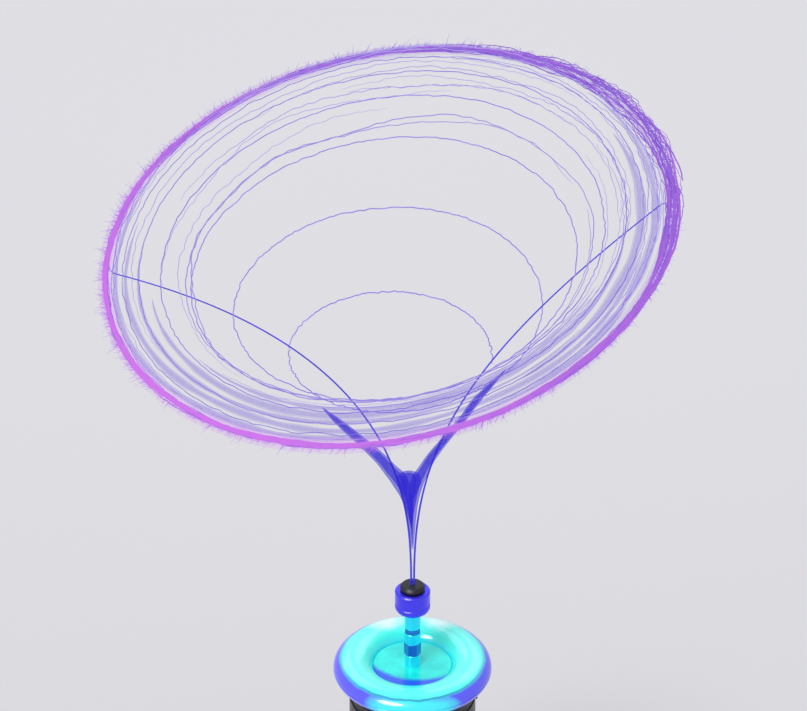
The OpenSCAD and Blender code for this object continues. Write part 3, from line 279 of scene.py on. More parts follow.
def powder_coat():
    """Baked powder coat on folded steel: satin, with an orange-peel skin of about 1.5 mm."""
    return surface("powder_coat", ("#1b1926", "#232031"), (18, 4), (0.36, 0.5, 1.6, 2),
                   (0.06, 1.6, 2), roughness=0.42, ior=1.5)


def plated_steel(name="plated_steel", cool="#8f9299", warm="#a9a89d", rough=0.3):
    """Bright zinc plate on steel: soft sheen with faint straw and blue passivation clouds."""
    return surface(name, (cool, warm), (4, 4), (rough - 0.06, rough + 0.12, 1.0),
                   at=(0.35, 0.68), metallic=1.0, roughness=rough)


def turned_steel():
    """Turned stainless steel: bright, with fine tool lines round the axis, drawn coarser than
    they are, so that they show."""
    material, tree, shader = new_material("turned_steel", metallic=1.0, roughness=0.24)
    tint(tree, shader, speckle(tree, 6, 3), [(0.3, "#a4a7ae"), (0.7, "#bfc1c7")])
    lines = level_lines(tree, 0.6, 0.6)
    emboss(tree, shader, lines, 0.02)
    roughen(tree, shader, lines, 0.18, 0.32)
    return material


def ground_steel():
    """Ground bearing steel: near mirror with a faint haze of grinding."""
    return surface("ground_steel", ("#b9bbc1", "#cdced3"), (3, 2), (0.07, 0.16, 0.4),
                   metallic=1.0, roughness=0.1)


def machined_brass(name="machined_brass", rough=0.24):
    """Machined brass: warm yellow, tool haze and browner handling marks."""
    return surface(name, ("#a98749", "#cdb068", "#8f6d3a"), (5, 5),
                   (rough - 0.06, rough + 0.14, 0.8), at=(0.3, 0.62, 0.8),
                   metallic=1.0, roughness=rough)


def drawn_copper():
    """Soft-drawn copper tube: salmon metal, drawing haze, brown and rose tarnish clouds."""
    return surface("drawn_copper", ("#9c5330", "#c9764a", "#d98f66", "#8d4529"), (14, 6, 0.6),
                   (0.16, 0.42, 2.5, 4), (0.02, 1.2), at=(0.3, 0.5, 0.66, 0.8),
                   metallic=1.0, roughness=0.26)


def circuit_board():
    """Solder-masked glass epoxy: green gloss over a grid of lighter copper tracks."""
    material, tree, shader = new_material("circuit_board", roughness=0.28, ior=1.5)
    field_mm = 11.1
    place = add(tree, "TexCoord", out="Object")
    tracks = add(tree, "TexBrick", {
        "Vector": place, "Scale": 1000 / field_mm, "Mortar Size": 0.03, "Mortar Smooth": 0.2,
        "Color1": linear("#17523a"), "Color2": linear("#1b5d40"), "Mortar": linear("#2f8a5a")})
    paint(tree, shader, tracks.outputs["Color"])
    emboss(tree, shader, tracks.outputs["Fac"], 0.04)
    return material


def extruded_aluminium():
    """Extruded aluminium: pale grey metal with die lines along the fins."""
    material, tree, shader = new_material("extruded_aluminium", metallic=1.0, roughness=0.36)
    lines = streaks(tree, 1.11, (1, 1, 0.06))
    tint(tree, shader, lines, [(0.3, "#8e9198"), (0.7, "#a8abb1")])
    roughen(tree, shader, lines, 0.28, 0.46)
    return material


def moulded(name, dark, light, rough=0.5, grain_mm=0.8, depth_mm=0.03, **sockets):
    """Injection-moulded plastic with a spark-eroded grain and slight colour drift."""
    return surface(name, (dark, light), (12, 4), (rough - 0.06, rough + 0.08, grain_mm),
                   (depth_mm, grain_mm), roughness=rough, ior=1.5, **sockets)


def acetal_sheet():
    """Milled white acetal: waxy off-white, cutter marks a few tenths apart on its faces."""
    return surface("acetal_sheet", ("#dedbd2", "#ecebe4"), (25, 4), None, (0.02, 0.7),
                   roughness=0.38, ior=1.48, subsurface_weight=0.12,
                   subsurface_radius=(0.004, 0.004, 0.0035), subsurface_scale=0.6)


def pipe_in_painted_shade():
    """Extruded drain pipe, painted near-black as painted shade for the dark under the toroid:
    satin, with a fine relief.
    """
    return surface("pipe_in_painted_shade", ("#121118", "#1b1a22"), (20, 4), None, (0.03, 1.5),
                   roughness=0.5, ior=1.5)


def varnished_winding():
    """Close-wound enamelled wire, painted near-black as painted shade for the dark under the
    toroid: gloss over fine level turns. The wire is 0.2 mm, too fine to show, so the turns are
    drawn 1 mm apart."""
    material, tree, shader = new_material(
        "varnished_winding", roughness=0.45, ior=1.5, coat_weight=0.25, coat_roughness=0.2)
    turns = level_lines(tree, 1.0005, 0.15)
    # Painted shade: the turns are painted near-black
    copper = add(tree, "ValToRGB", {"Fac": turns}, "Color", [(0.2, "#0b0911"), (0.8, "#2b1b24")])
    varnish = add(tree, "ValToRGB", {"Fac": speckle(tree, 22, 5)}, "Color",
                  [(0.3, "#8f8aa0"), (0.75, "#ffffff")])
    paint(tree, shader, add(tree, "Mix", {"Factor": 0.8, 6: copper, 7: varnish}, 2,
                            data_type="RGBA", blend_type="MULTIPLY"))
    emboss(tree, shader, turns, 0.12)
    return material


def enamel(name, crest, margin, glow):
    """Cyan enamel on spun aluminium with painted light: wet gloss, soft orange peel and a painted
    glow. It is painted palest on the crest, a painted highlight band, and darker and bluer lower
    down. The outer side and the underside are painted blue-violet as painted shade and reflection,
    but for a turquoise stretch at the front, a painted reflection. A thin darker line runs along
    the front, 6.6 mm in from the rim. Two pale patches at the back are painted highlights."""
    material, tree, shader = new_material(
        name, roughness=0.22, ior=1.55, coat_weight=1.0, coat_roughness=0.04)
    # Centres of the two painted highlights at the back of the crest
    highlight_x, highlight_y = 26 * MM, 58 * MM
    place = add(tree, "TexCoord", out="Object")
    axes = add(tree, "SeparateXYZ", {"Vector": place}).outputs
    flat = add(tree, "CombineXYZ", {"X": axes["X"], "Y": axes["Y"]}, "Vector")
    height = add(tree, "MapRange", {
        "Value": axes["Z"], "From Min": TOROID_LOW, "From Max": TOROID_TOP}, "Result")
    height = sway(tree, height, 0.09, 24, 3)
    radius = add(tree, "VectorMath", {0: flat}, "Value", operation="LENGTH")
    radius = sway(tree, radius, 1.2 * MM, 12, 2)
    near_line = add(tree, "Math", {0: radius, 1: TOROID_R - 6.6 * MM, 2: 0.9 * MM}, "Value",
                    operation="COMPARE")
    left, right = (add(tree, "VectorMath", {
        0: place, 1: (x, highlight_y, TOROID_TOP)}, "Value", operation="DISTANCE")
        for x in (-highlight_x, highlight_x))
    near_highlight = add(tree, "Math", {0: left, 1: right}, "Value", operation="MINIMUM")
    # Factors that are 0 up to the first limit and 1 from the second
    at_edge, underneath, front, line_front, on_highlight, on_crest = (
        add(tree, "MapRange", {"Value": value, "From Min": none, "From Max": full}, "Result")
        for value, none, full in (
            (radius, TOROID_R - 8.5 * MM, TOROID_R - 4.5 * MM),
            (height, 0.52, 0.38),
            (sway(tree, axes["Y"], 6 * MM, 16, 3), TOROID_R * -0.78, TOROID_R * -0.92),
            (axes["Y"], -12 * MM, -50 * MM),
            (sway(tree, near_highlight, 4 * MM, 9, 2), 21 * MM, 9 * MM),
            (height, 0.80, 0.98),
        ))
    painted_shade_flank, line, painted_highlight = (
        add(tree, "Math", {0: first, 1: second}, "Value", operation=operation)
        for first, second, operation in (
            (at_edge, underneath, "MAXIMUM"),
            (near_line, line_front, "MULTIPLY"),
            (on_highlight, on_crest, "MULTIPLY"),
        ))
    # Painted light: palest on the crest, a painted highlight band, darker and bluer lower down
    coat = add(tree, "ValToRGB", {"Fac": height}, "Color", [
        (0.0, "#0fb2dc"), (0.55, "#10c4dc"), (0.84, "#16e2d2"), (1.0, crest)])
    # Painted shade and reflection: blue-violet on the outer side and underside, turquoise at the
    # front
    side = add(tree, "Mix", {"Factor": front, 6: linear(margin), 7: linear("#30dcee")}, 2,
               data_type="RGBA")
    # Over the enamel go the painted shade and reflection, a darker line and the painted highlights
    for factor, shade in (
        (painted_shade_flank, side), (line, linear("#0c9cc0")), (painted_highlight, linear("#d4fbff")),
    ):
        coat = add(tree, "Mix", {"Factor": factor, 6: coat, 7: shade}, 2, data_type="RGBA")
    paint(tree, shader, coat, glow)
    emboss(tree, shader, speckle(tree, 5, 2), 0.12)
    return material


def flat_enamel(name, dark, light, painted_shadow, glow):
    """The same enamel on the flat disc, with a painted glow: saturated turquoise with soft clouds,
    and a deeper blue crescent along the front edge, a painted shadow."""
    material, tree, shader = new_material(
        name, roughness=0.24, ior=1.5, coat_weight=0.5, coat_roughness=0.08)
    centre = (6 * MM, 25 * MM, TOROID_MID)
    clouds = add(tree, "ValToRGB", {"Fac": speckle(tree, 20, 3)}, "Color",
                 [(0.34, dark), (0.64, light)])
    place = add(tree, "TexCoord", out="Object")
    radius = add(tree, "VectorMath", {0: place, 1: centre}, "Value", operation="DISTANCE")
    # Painted shadow: the deeper blue along the front edge of the disc
    crescent = add(tree, "MapRange", {
        "Value": sway(tree, radius, 2 * MM, 14, 2), "From Min": 46 * MM, "From Max": 51 * MM},
        "Result")
    paint(tree, shader, add(tree, "Mix", {"Factor": crescent, 6: clouds, 7: linear(painted_shadow)}, 2,
                            data_type="RGBA"), glow)
    emboss(tree, shader, speckle(tree, 4, 2), 0.05)
    return material


def anodised(name, dark, light, rough, glow):
    """Anodised turned aluminium: coloured metal with turning lines, drawn coarse enough to
    show, under a hard clear skin. glow is a painted glow."""
    material, tree, shader = new_material(
        name, metallic=0.85, roughness=rough, coat_weight=0.5, coat_roughness=0.12)
    lines = level_lines(tree, 0.8, 0.6)
    tint(tree, shader, lines, [(0.25, dark), (0.75, light)], glow)
    emboss(tree, shader, lines, 0.025)
    roughen(tree, shader, speckle(tree, 1.5), rough - 0.06, rough + 0.1)
    return material


def wire_enamel(shade):
    """Blue-violet enamel on spring wire: glossy, a little uneven, lit from the discharge."""
    deep = tuple(c * 0.75 for c in shade)
    return surface("wire_enamel", (deep, tuple(shade)), (6, 3), None, (0.03, 1.0), glow=0.45,
                   roughness=0.25, ior=1.55, coat_weight=0.6)


def magnet_wire():
    """Enamelled copper wire: brown-red varnish over metal."""
    return surface("magnet_wire", ("#6b2e16", "#8e4522"), (3, 3), None, (0.02, 0.6),
                   metallic=0.6, roughness=0.3, coat_weight=0.8)


def lamp_glass():
    """Moulded blue lamp lens, lit from behind."""
    return surface("lamp_glass", ("#27a9e6", "#63d4ff"), (2, 2), None, (0.05, 2, 2),
                   roughness=0.12, ior=1.58, transmission_weight=0.5,
                   emission_color=linear("#3fbcf5"), emission_strength=0.7)


def light_skin(name, dim, bright, cover):
    """Glowing ionised air, drawn as a thin skin: no gloss, brighter or dimmer from point to
    point, with a fine flicker along it."""
    material, tree, shader = new_material(
        name, base_color=(0.0, 0.0, 0.0, 1.0), roughness=1.0, specular_ior_level=0.0,
        emission_strength=1.0, alpha=cover)
    glow = add(tree, "Attribute", out="Fac", attribute_name="glow")
    shade = add(tree, "ValToRGB", {"Fac": sway(tree, glow, 0.25, 7, 3)}, "Color",
                [(0.0, dim), (1.0, bright)])
    tree.links.new(shade, shader.inputs["Emission Color"])
    return material


# ---- Mesh code ----

def mesh_object(name, points, faces, material, smooth=True):
    """A new mesh object in the scene, with one material."""
    mesh = bpy.data.meshes.new(name)
    mesh.from_pydata([tuple(p) for p in points], [], faces)
    mesh.validate()
    mesh.update()
    for face in mesh.polygons:
        face.use_smooth = smooth
    mesh.materials.append(material)
    made = bpy.data.objects.new(name, mesh)
    bpy.context.scene.collection.objects.link(made)
    return made


def lathe(name, outline, material, steps):
    """Turns a closed outline of (radius, height) points about the upright axis."""
    points, faces = [], []
    count = len(outline)
    for i in range(steps):
        turn = TAU * i / steps
        points += [(r * math.cos(turn), r * math.sin(turn), z) for r, z in outline]
        here, there = i * count, (i + 1) % steps * count
        for j in range(count):
            k = (j + 1) % count
            faces.append((here + j, there + j, there + k, here + k))
    return mesh_object(name, points, faces, material)


class Tubes:
    """Collects round tubes along lines of points, to make one mesh of them. A radius and a
    level of glow is one value, or one for each point."""

    def __init__(self, sides=12):
        self.sides, self.points, self.faces, self.levels = sides, [], [], []

    def add(self, path, radii, side=Vector((0, 1, 0)), level=1.0, ends=True):
        start, last = len(self.points), len(path) - 1
        for i, p in enumerate(path):
            way = (path[min(i + 1, last)] - path[max(i - 1, 0)]).normalized()
            out = (side - side.dot(way) * way).normalized()
            over = way.cross(out)
            radius, value = (
                v[i] if isinstance(v, (list, tuple)) else v for v in (radii, level))
            for j in range(self.sides):
                turn = TAU * j / self.sides
                self.points.append(p + radius * (math.cos(turn) * out + math.sin(turn) * over))
                self.levels.append(value)
        for here in range(start, start + last * self.sides, self.sides):
            for j in range(self.sides):
                k = (j + 1) % self.sides
                there = here + self.sides
                self.faces.append((here + j, here + k, there + k, there + j))
        if ends:
            tail = start + last * self.sides
            self.faces.append(tuple(start + j for j in reversed(range(self.sides))))
            self.faces.append(tuple(tail + j for j in range(self.sides)))

    def make(self, name, material):
        made = mesh_object(name, self.points, self.faces, material)
        glow = made.data.attributes.new("glow", "FLOAT", "POINT")
        glow.data.foreach_set("value", self.levels)
        return made


class Ribbons(Tubes):
    """Collects flat strips along lines of points, to make one mesh of them."""

    def add(self, path, widths, normal, level=0.5):
        start, last = len(self.points), len(path) - 1
        for i, p in enumerate(path):
            way = (path[min(i + 1, last)] - path[max(i - 1, 0)]).normalized()
            across = normal.cross(way).normalized() * widths[i] / 2
            self.points += [p - across, p + across]
            self.levels += [level, level]
        for i in range(start, start + 2 * last, 2):
            self.faces.append((i, i + 1, i + 3, i + 2))


def smooth_path(points, steps):
    """A cubic path through given points."""
    path, last = [], len(points) - 1
    for i in range(last):
        a, b, c, d = points[max(i - 1, 0)], points[i], points[i + 1], points[min(i + 2, last)]
        for s in range(steps):
            t = s / steps
            path.append(0.5 * (2 * b + (c - a) * t + (2 * a - 5 * b + 4 * c - d) * t * t
                               + (3 * b - a - 3 * c + d) * t ** 3))
    return path + [points[last]]


def stands_for(piece, body, slot, *nodes):
    """The piece moves with a body and stands for nodes of the frame, which it hides. slot is not
    used.
    """
    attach(piece, body)
    if nodes:
        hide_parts(*nodes)


def make_wire(name, legs, radius_mm, sides, material, slot, node):
    """A wire along its route in the source. A leg is a radius, a height and its points, each
    with its steps in millimetres outward, to the back and up."""
    route = [Vector((x, 0, z)) + MM * Vector(step) for x, z, steps in legs for step in steps]
    tubes = Tubes(sides)
    tubes.add(smooth_path(route, 8), radius_mm * MM)
    stands_for(tubes.make(name, material), "root", slot, node)


def finish_nodes(material, *names):
    """Gives frame nodes one material."""
    for name in names:
        slots = NODES[name].data.materials
        slots.clear()
        slots.append(material)


def soften(width_mm, *names):
    """Breaks the sharp edges of frame nodes, so that they catch the light."""
    for name in names:
        bevel = NODES[name].modifiers.new("broken_edge", "BEVEL")
        bevel.width = width_mm * MM
        bevel.segments = 2
        bevel.limit_method = "ANGLE"
        bevel.angle_limit = math.radians(50)
        bevel.harden_normals = False


# ---- The wires' line ----

WIRE_RINGS = 48
WIRE_POWER = 2.5   # how late a wire bends outward
POINT_END = 0.2    # share of its thickness that a wire's point keeps


def sizes_now():
    """The sizes that the scene holds."""
    return bpy.context.scene.resonator_sizes


def lean_line(t):
    """The line midway between the wires, which bends over more the higher it gets."""
    s = sizes_now()
    return Vector((s.whip_lean[0] * t ** 3, s.whip_lean[1] * t ** 3, HUB_TOP + s.whip_rise * t))


def lean_axes(t):
    """(out, over, along) at a height of the leaning line; out points to the right wire."""
    s = sizes_now()
    bend = 3 * t * t
    along = Vector((s.whip_lean[0] * bend, s.whip_lean[1] * bend, s.whip_rise)).normalized()
    right = Vector((1, 0, 0))
    out = (right - right.dot(along) * along).normalized()
    return out, along.cross(out), along


def wire_at(t, side, reach):
    """A point of the left (-1) or right (1) wire; reach is its radius before the bent point."""
    start = sizes_now().whip_spacing / 2
    return lean_line(t) + side * (start + (reach - start) * t ** WIRE_POWER) * lean_axes(t)[0]


def bent_point(side, way):
    """The steps of a wire's bent point, which turns from the wire's way into the circle's."""
    step = sizes_now().whip_point / 4
    turn = -side * lean_axes(1)[1]
    return [step * ((1 - k) * way + k * turn).normalized() for k in (0.25, 0.5, 0.75, 1)]


def wire_ends():
    """Reach of the wires before their bent points, and height of the ring over that level,
    so that the points end just inside the ring of light."""
    s = sizes_now()
    full = s.whip_reach
    way = (wire_at(1, 1, full) - wire_at(1 - 1 / WIRE_RINGS, 1, full)).normalized()
    drift = sum(bent_point(1, way), Vector())
    out, over, along = lean_axes(1)
    point_r = full - s.light_thick / 2 - s.whip_tip / 2 * POINT_END - s.point_gap
    return math.sqrt(point_r ** 2 - drift.dot(over) ** 2) - drift.dot(out), drift.dot(along)


def circle_at(turn, radius, t=1.0, lift=0.0):
    """A point on the circle round the leaning line; turn 0 is right, a quarter is the back."""
    out, over, along = lean_axes(t)
    return lean_line(t) + radius * (math.cos(turn) * out + math.sin(turn) * over) + lift * along


# ---- Operators ----

class Maker(Operator):
    """Base of the operators"""
    bl_options = {"REGISTER", "UNDO"}

    def execute(self, context):
        self.make(context.scene)
        return {"FINISHED"}


class RESONATOR_OT_stage(Maker):
    """Makes the floor, the lights and the camera"""
    bl_idname = "resonator.stage"
    bl_label = "Stage"

    def make(self, scene):
        self.make_floor()
        self.make_world(scene)
        self.make_lights()
        self.make_camera(scene)
        scene.view_settings.view_transform = "Standard"

    def make_floor(self):
        """A plain pale floor."""
        material = new_material("pale_floor", base_color=linear("#dddee3"), roughness=0.9,
                                specular_ior_level=0.1)[0]
        half, sunk = 30, -0.0002
        corners = [(x * half, y * half, sunk) for x, y in ((-1, -1), (1, -1), (1, 1), (-1, 1))]
        floor = mesh_object("floor", corners, [(0, 1, 2, 3)], material, smooth=False)

    def make_world(self, scene):
        """Soft fill from all round; what is seen past the floor is as pale as the floor."""
        world = bpy.data.worlds.new("studio")
        scene.world = world
        world.use_nodes = True
        tree = world.node_tree
        tree.nodes.clear()
        rays = add(tree, "LightPath").outputs
        seen = rays["Is Camera Ray"]
        for ray in ("Is Glossy Ray", "Is Transmission Ray"):
            seen = add(tree, "Math", {0: seen, 1: rays[ray]}, "Value", operation="MAXIMUM")
        fill, pale = (add(tree, "Background", {
            "Color": linear(shade), "Strength": strength}, "Background")
            for shade, strength in (("#f2f3f8", 0.45), ("#d7d7db", 1.0)))
        mix = add(tree, "MixShader", {"Fac": seen, 1: fill, 2: pale}, "Shader")
        add(tree, "OutputWorld", {"Surface": mix})

    def make_lights(self):
        """A broad key from the front left, which lights the floor evenly, and two soft boxes
        behind, which give a broad sheen on the toroid's back; the two pale highlights there are
        painted in its enamel. A size is an angle for the sun."""
        for name, kind, place, size, power, shade in (
            ("key", "SUN", (-1.5, -1.9, 3.2), math.radians(28), 2.1, "#fffaf4"),
            ("back_left", "AREA", (-0.9, 1.9, 2.2), 1.2, 5, "#f6f4ff"),
            ("back_right", "AREA", (0.7, 2.1, 2.2), 1.2, 5, "#f6f4ff"),
        ):
            lamp = bpy.data.lights.new(name, kind)
            setattr(lamp, "angle" if kind == "SUN" else "size", size)
            lamp.energy = power
            lamp.color = linear(shade)[:3]
            made = bpy.data.objects.new(name, lamp)
            made.location = place
            aim = Vector((0, 0, 0.35)) - Vector(place)
            made.rotation_euler = aim.to_track_quat("-Z", "Y").to_euler()
            bpy.context.scene.collection.objects.link(made)

    def make_camera(self, scene):
        """Sets the camera so that the crest of the toroid falls on its pixel of the photograph."""
        stage = scene.resonator_stage
        frame_wide, frame_high = 807, 711
        crest_x, crest_y = 412.5, 655.5
        sensor = 36.0
        ahead = Vector((0, math.cos(stage.pitch), -math.sin(stage.pitch)))
        up = Vector((0, math.sin(stage.pitch), math.cos(stage.pitch)))
        across = Vector(((crest_x - frame_wide / 2) * stage.scale, 0, 0))
        below = (crest_y - frame_high / 2) * stage.scale
        data = bpy.data.cameras.new("camera")
        data.sensor_width = sensor
        data.lens = sensor * stage.distance / stage.scale / frame_wide
        data.clip_end = 100
        camera = bpy.data.objects.new("camera", data)
        crest = Vector((0, 0, TOROID_TOP))
        camera.location = crest - stage.distance * ahead - across + below * up
        camera.rotation_euler = (math.pi / 2 - stage.pitch, 0, 0)
        scene.collection.objects.link(camera)
        scene.camera = camera


class RESONATOR_OT_cabinet(Maker):
    """Finishes the base cabinet and its screws"""
    bl_idname = "resonator.cabinet"
    bl_label = "Cabinet"

    def make(self, scene):
        finish_nodes(rubber_mat(), "base_pad")
        finish_nodes(cast_acrylic(), "deck_plate", "bottom_plate")
        finish_nodes(powder_coat(), "cabinet_wall")
        finish_nodes(plated_steel(), "bottom_screws", "panel_screws", "hub_screws",
                     "knob_controls")
        finish_nodes(turned_steel(), "deck_screws", "collar_screws", "signal_jack", "lamp_bezel",
                     "power_shaft", "rate_shaft", "stem_rod", "spindle")
        soften(0.8, "deck_plate")
        soften(0.3, "bottom_plate")


class RESONATOR_OT_electronics(Maker):
    """Finishes what the cabinet holds"""
    bl_idname = "resonator.electronics"
    bl_label = "Electronics"

    def make(self, scene):
        finish_nodes(machined_brass(), "board_standoffs", "primary_terminals")
        finish_nodes(circuit_board(), "driver_board")
        finish_nodes(extruded_aluminium(), "heat_sink", "toroid_spacer")
        finish_nodes(moulded("moulded_epoxy", "#131316", "#1d1d21", 0.45, 0.5),
                     "power_transistors", "supply_module")
        # A heat-shrunk sleeve, and film coils dipped in lacquer
        finish_nodes(moulded("shrunk_sleeve", "#1d2740", "#2a3656", 0.25, 2.0, 0.02),
                     "storage_capacitors")
        finish_nodes(moulded("dipped_film", "#6e231d", "#8b3028", 0.22, 3.0, 0.05),
                     "tank_capacitors")
        finish_nodes(moulded("glass_filled_nylon", "#151518", "#202024", 0.5, 0.7),
                     "fan_frame", "fan_rotor", "inlet_socket", "fuse_drawer", "switch_bezel")
        finish_nodes(plated_steel("nickelled_wire", "#b4b6bb", "#c9cacd", 0.2), "fan_guard")


class RESONATOR_OT_panels(Maker):
    """Finishes the controls, sockets, lamp and switch"""
    bl_idname = "resonator.panels"
    bl_label = "Panels"

    def make(self, scene):
        finish_nodes(moulded("rocker_key", "#8f0f22", "#b81a30", 0.18, 1.5, 0.01),
                     "switch_rocker")
        finish_nodes(moulded("green_insulator", "#2c7a2e", "#3a933b", 0.3, 1.2, 0.02),
                     "earth_socket")
        finish_nodes(lamp_glass(), "lamp_lens")
        finish_nodes(moulded("satin_knob", "#0f0f12", "#1a1a1f", 0.42, 0.6),
                     "power_knob", "rate_knob")
        soften(0.25, "power_knob", "rate_knob")
        ink = moulded("panel_ink", "#dcdcd8", "#ececea", 0.6, 0.5, 0.01)
        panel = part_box("cabinet_wall")[0].y
        for knob, body in (("power_knob", "power_dial"), ("rate_knob", "rate_dial")):
            low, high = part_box(knob)
            # The white line that fills the knob's groove
            groove_face, groove_depth = low.y + 0.12 * MM, 0.45 * MM
            line = [(0, 2.4 * MM, (high.z - low.z) / 2 - 3.6 * MM, 0.5 * MM)]
            self.make_marks(knob, "_pointer", line, groove_face, groove_face + groove_depth,
                            ink, body)
            # Eleven printed ticks over the knob's 300 degrees of turn, each fifth one longer
            radius, least, step = (high.x - low.x) / 2, -150, 30
            ticks = [(math.radians(least + step * i), radius + 2 * MM,
                      radius + (4.5 if i % 5 else 5.3) * MM, (0.35 if i % 5 else 0.5) * MM)
                     for i in range(11)]
            self.make_marks(knob, "_scale", ticks, panel - 0.06 * MM, panel + 0.05 * MM,
                            ink, "root")

    def make_marks(self, knob, ending, marks, near, far, ink, body):
        """Flat bars round a knob's axis: marks are (turn, inner end, outer end, half width)."""
        low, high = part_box(knob)
        centre = (low + high) / 2
        points, faces = [], []
        for turn, inner, outer, half in marks:
            out = Vector((math.sin(turn), 0, math.cos(turn)))
            side = Vector((math.cos(turn), 0, -math.sin(turn)))
            a = len(points)
            for y in (near, far):
                middle = Vector((centre.x, y, centre.z))
                for r, s in ((inner, -1), (inner, 1), (outer, 1), (outer, -1)):
                    points.append(middle + r * out + s * half * side)
            faces += [(a, a + 1, a + 2, a + 3), (a + 7, a + 6, a + 5, a + 4)]
            faces += [(a + j, a + 4 + j, a + 4 + (j + 1) % 4, a + (j + 1) % 4) for j in range(4)]
        made = mesh_object(knob + ending, points, faces, ink, smooth=False)
        stands_for(made, body, "comb_white")


class RESONATOR_OT_primary(Maker):
    """Makes the copper primary, its lead and the combs' finish"""
    bl_idname = "resonator.primary"
    bl_label = "Primary"

    def make(self, scene):
        s = scene.resonator_sizes
        finish_nodes(acetal_sheet(), "primary_combs")
        soften(0.3, "primary_combs", "primary_terminals")
        per_turn = 96
        path = []
        for i in range(per_turn * s.primary_turns + 1):
            wound = i / per_turn
            radius = s.primary_radius + s.primary_cone * wound
            path.append(Vector((
                radius * math.cos(TAU * wound), radius * math.sin(TAU * wound),
                DECK_TOP + s.primary_lift + s.primary_pitch * wound)))
        stub = Vector((0, s.primary_tube, 0))
        path = [path[0] - stub] + path + [path[-1] + stub]
        tubes = Tubes(20)
        tubes.add(path, s.primary_tube / 2, Vector((0, 0, 1)))
        coil = tubes.make("copper_primary", drawn_copper())
        stands_for(coil, "root", "copper_tube", "primary_coil")
        # The lead, from the upper clamp down to the deck
        clamp_x = s.primary_radius + s.primary_cone * s.primary_turns + 5.5 * MM
        clamp_z = DECK_TOP + s.primary_lift + s.primary_pitch * s.primary_turns
        down_x = 104 * MM
        make_wire("silicone_lead", (
            (clamp_x, clamp_z, ((0, 7, 0), (3, 7, 0), (5, 7.6, -4), (4.4, 9, -12))),
            (down_x, clamp_z, ((2, 11.5, -28), (0, 13.4, -42))),
            (down_x, DECK_TOP, ((0, 14, 8), (0, 14, 0), (0, 14, -9))),
        ), 2, 16, moulded("silicone_sleeve", "#24242c", "#34343e", 0.5, 1.5, 0.02),
            "lead_sleeve", "primary_lead")


class RESONATOR_OT_secondary(Maker):
    """Finishes the wound pipe, its foot ring, cap and two wire ends"""
    bl_idname = "resonator.secondary"
    bl_label = "Secondary"

    def make(self, scene):
        finish_nodes(pipe_in_painted_shade(), "former_tube")
        finish_nodes(varnished_winding(), "secondary_winding")
        finish_nodes(moulded("turned_acetal", "#131218", "#1c1b22", 0.3, 1.0, 0.015),
                     "former_collar", "former_cap")
        low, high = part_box("secondary_winding")
        down_x = -(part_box("former_collar")[1].x + 2 * MM)
        cap_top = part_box("former_cap")[1].z
        block_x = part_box("toroid_spacer")[1].x
        earth = (
            (-high.x, low.z, ((-0.9, 0, 4), (-1.4, 0, 1))),
            (down_x, low.z, ((4, 0, -6), (0, 0, -12))),
            (down_x, DECK_TOP, ((0, 0, 2), (0, 0, -9))),
        )
        top = (
            (high.x, high.z, ((0.9, 0, -6), (1.4, 0, -2), (3, 0, 6))),
            (high.x, cap_top, ((3, 0, 0), (0, 0, 2.4), (-6, 0, 2.4))),
            (block_x, cap_top, ((0.1, 0, 2.4),)),
        )
        wire = magnet_wire()
        make_wire("earth_wire", earth, 0.8, 12, wire, "magnet_wire", "earth_lead")
        make_wire("top_wire", top, 0.8, 12, wire, "magnet_wire", "top_lead")


class RESONATOR_OT_toroid(Maker):
    """Makes the two spun halves of the toroid and finishes the plate in its dish"""
    bl_idname = "resonator.toroid"
    bl_label = "Toroid"

    def make(self, scene):
        s = scene.resonator_sizes
        c = scene.resonator_colours
        # 0.30 is a painted glow; the enamel also carries painted highlights, shade and reflection
        skin = enamel("enamel_with_painted_light", tuple(c.pale_crest_highlight), tuple(c.margin), 0.30)
        half = self.half_outline(s)
        for name, node, sign in (
            ("spun_top", "toroid_upper", 1), ("spun_bottom", "toroid_lower", -1),
        ):
            outline = [(r, TOROID_MID + sign * (s.seam / 2 + z)) for r, z in half[::sign]]
            stands_for(lathe(name, outline, skin, 192), "root", "aqua_enamel", node)
        # The disc's enamel has a painted shadow, #2358e0, along its front edge and a painted glow
        # of 0.25
        finish_nodes(flat_enamel("disc_enamel_with_painted_light", "#06cfc9", "#1fe6d8", "#2358e0", 0.25),
                     "toroid_plate")
        soften(0.15, "toroid_plate")

    def half_outline(self, s):
        """(radius, height over the seam) round one spun half, with a rolled rim."""
        half_w = s.section_width / 2
        half_h = TOROID_TOP - TOROID_MID - s.seam / 2
        ring_r = TOROID_R - half_w

        def on_section(turn, inset):
            return (ring_r + (half_w - inset) * math.cos(turn),
                    (half_h - inset) * math.sin(turn))
        steps, bore, roll = 48, 4.1 * MM, 0.5 * MM
        start = math.pi - math.asin(s.sheet / half_h)
        line = [(bore, 0.0)]
        line += [(bore + (ring_r - half_w - bore) * i / 4, s.sheet) for i in range(4)]  # the dish
        line += [on_section(start - start * i / steps, 0) for i in range(steps)]
        line += [(ring_r + half_w, roll), (ring_r + half_w - roll, 0.0)]
        line += [on_section(math.pi * i / steps, s.sheet) for i in range(steps + 1)]
        return line


